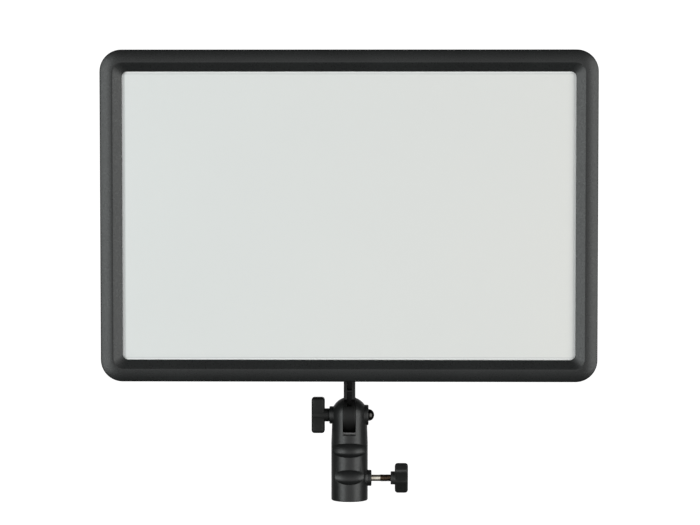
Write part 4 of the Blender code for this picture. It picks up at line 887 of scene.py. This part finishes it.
def main():
    add_camera()
    add_softbox("softbox_left", -45, 1.4, 1.1 * SOFTBOX_LEVEL, colour=(0.95, 1, 0.995))
    add_softbox("softbox_right", 53, 1.65, SOFTBOX_LEVEL, colour=(0.98, 1, 0.985))
    # Without reflections: they would whiten the swivel's shoulder as seen from the front.
    add_softbox("softbox_back", 165, 2.6, 3.2, elevation=30, distance=3, height=1.6, gleams=False)
    add_world()
    add_floor()
    bpy.context.scene.view_settings.view_transform = "Standard"

    casing = moulded("casing_plastic", (0.0085, 0.0095, 0.0095), 0.33)
    adapter = moulded("adapter_plastic", (0.0095, 0.01, 0.01), 0.37, scuff_and_highlight=1.2)
    # About half as bright as the casing: painted shade for the tongue down in the swivel's slot; the
    # switches and jack share this material.
    arm = moulded("arm_plastic", (0.0045, 0.0045, 0.0045), 0.44, gloss=0.3)
    # One knob plastic in lit and shaded copies: the clamp knob's is lighter and glossier as painted light,
    # the tilt knob's darker as painted shade.
    grip = stippled("knob_plastic", (0.0045, 0.0048, 0.0045), 0.5, 0.27)
    clamp_knob_painted_light = stippled("clamp_knob_painted_light", (0.012, 0.0125, 0.012), 0.5, 0.6)
    dial = moulded("dial_plastic", (0.009, 0.009, 0.009), 0.5, grain=3200)
    steel = metal("zinc_steel", (0.48, 0.45, 0.4), 0.28, stretch=(6, 1, 1))
    thread_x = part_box("stand_lock_screw")[0].x + (THREAD_START - 0.1) * MM
    screw_metal = clamp_metal("clamp_steel", thread_x)
    black = metal("black_steel", (0.06, 0.058, 0.055), 0.22, tarnish=(0.03, 0.03, 0.03))
    brass = metal("nickel_brass", (0.62, 0.52, 0.34), 0.28)
    aluminium = metal("sheet_aluminium", (0.62, 0.63, 0.64), 0.34, stretch=(1, 1, 10))
    film = plain_sheet("reflector_film", (0.84, 0.84, 0.83), 0.4)
    clear = plain_sheet("guide_acrylic", (0.88, 0.91, 0.92), 0.12, clear=True)
    strip = plain_sheet("strip_laminate", (0.78, 0.78, 0.75), 0.42)
    stack = plain_sheet("display_stack", (0.3, 0.34, 0.3), 0.3)
    glass = plain_sheet("display_glass", (0.012, 0.015, 0.017), 0.08, grain=700)
    lead = plain_sheet("lead_insulation", (0.24, 0.02, 0.02), 0.45, grain=3000)
    board = circuit("board_laminate", (0.015, 0.11, 0.05))

    bezel(casing)
    diffuser_sheet(opal("diffuser_opal"))
    swivel_body(adapter)
    swivel_tongue(arm)
    pivot_bolt(black)
    tilt_grip = wing_grip("tilt_grip", TILT_KNOB_X, -1, AXIS_Z, 0, grip, cavity=INSERT_RADIUS)
    place(tilt_grip, "tilt_knob", "knob_plastic", "tilt_knob")
    clamp_grip = wing_grip("clamp_grip", LOCK_AXIS.x, 1, LOCK_AXIS.z, LOCK_KNOB_TURN, clamp_knob_painted_light)
    place(clamp_grip, "stand_lock_knob", "knob_plastic", "stand_lock_knob")
    clamp_screw(screw_metal)
    fluted_cap("brightness_cap", "brightness_dial", "brightness_dial", dial)
    fluted_cap("colour_cap", "colour_dial", "colour_dial", dial)
    catch_spring(steel)

    casing_screws = [f"casing_screw_{number}" for number in range(1, 9)]
    housing_screws = [f"housing_screw_{number}" for number in range(1, 5)]
    arm_screws = [f"arm_screw_{number}" for number in range(1, 5)]
    contacts = [f"battery_contact_{number}" for number in range(1, 4)]
    controls = [f"{name}_{part}" for name in ("brightness", "colour") for part in ("encoder", "shaft")]
    dress(["rear_cover", "control_housing", "battery_plate"], casing)
    dress(["power_switch_case", "power_rocker", "dc_jack", "mode_switch"], arm)
    dress(["mode_button", "battery_latch"], dial)
    dress(casing_screws + housing_screws + arm_screws, black)
    dress(controls + ["arm_backing_plate"], steel)
    dress(contacts + ["tilt_knob_insert", "stand_lock_insert"], brass)
    dress(["heat_spreader"], aluminium)
    dress(["light_guide"], clear)
    dress(["reflector_sheet"], film)
    dress(["led_strip_left", "led_strip_right"], strip)
    dress(["led_lead_left", "led_lead_right"], lead)
    dress(["driver_board", "display_board", "dial_board"], board)
    dress(["display_module"], stack)
    dress(["display_window"], glass)


main()
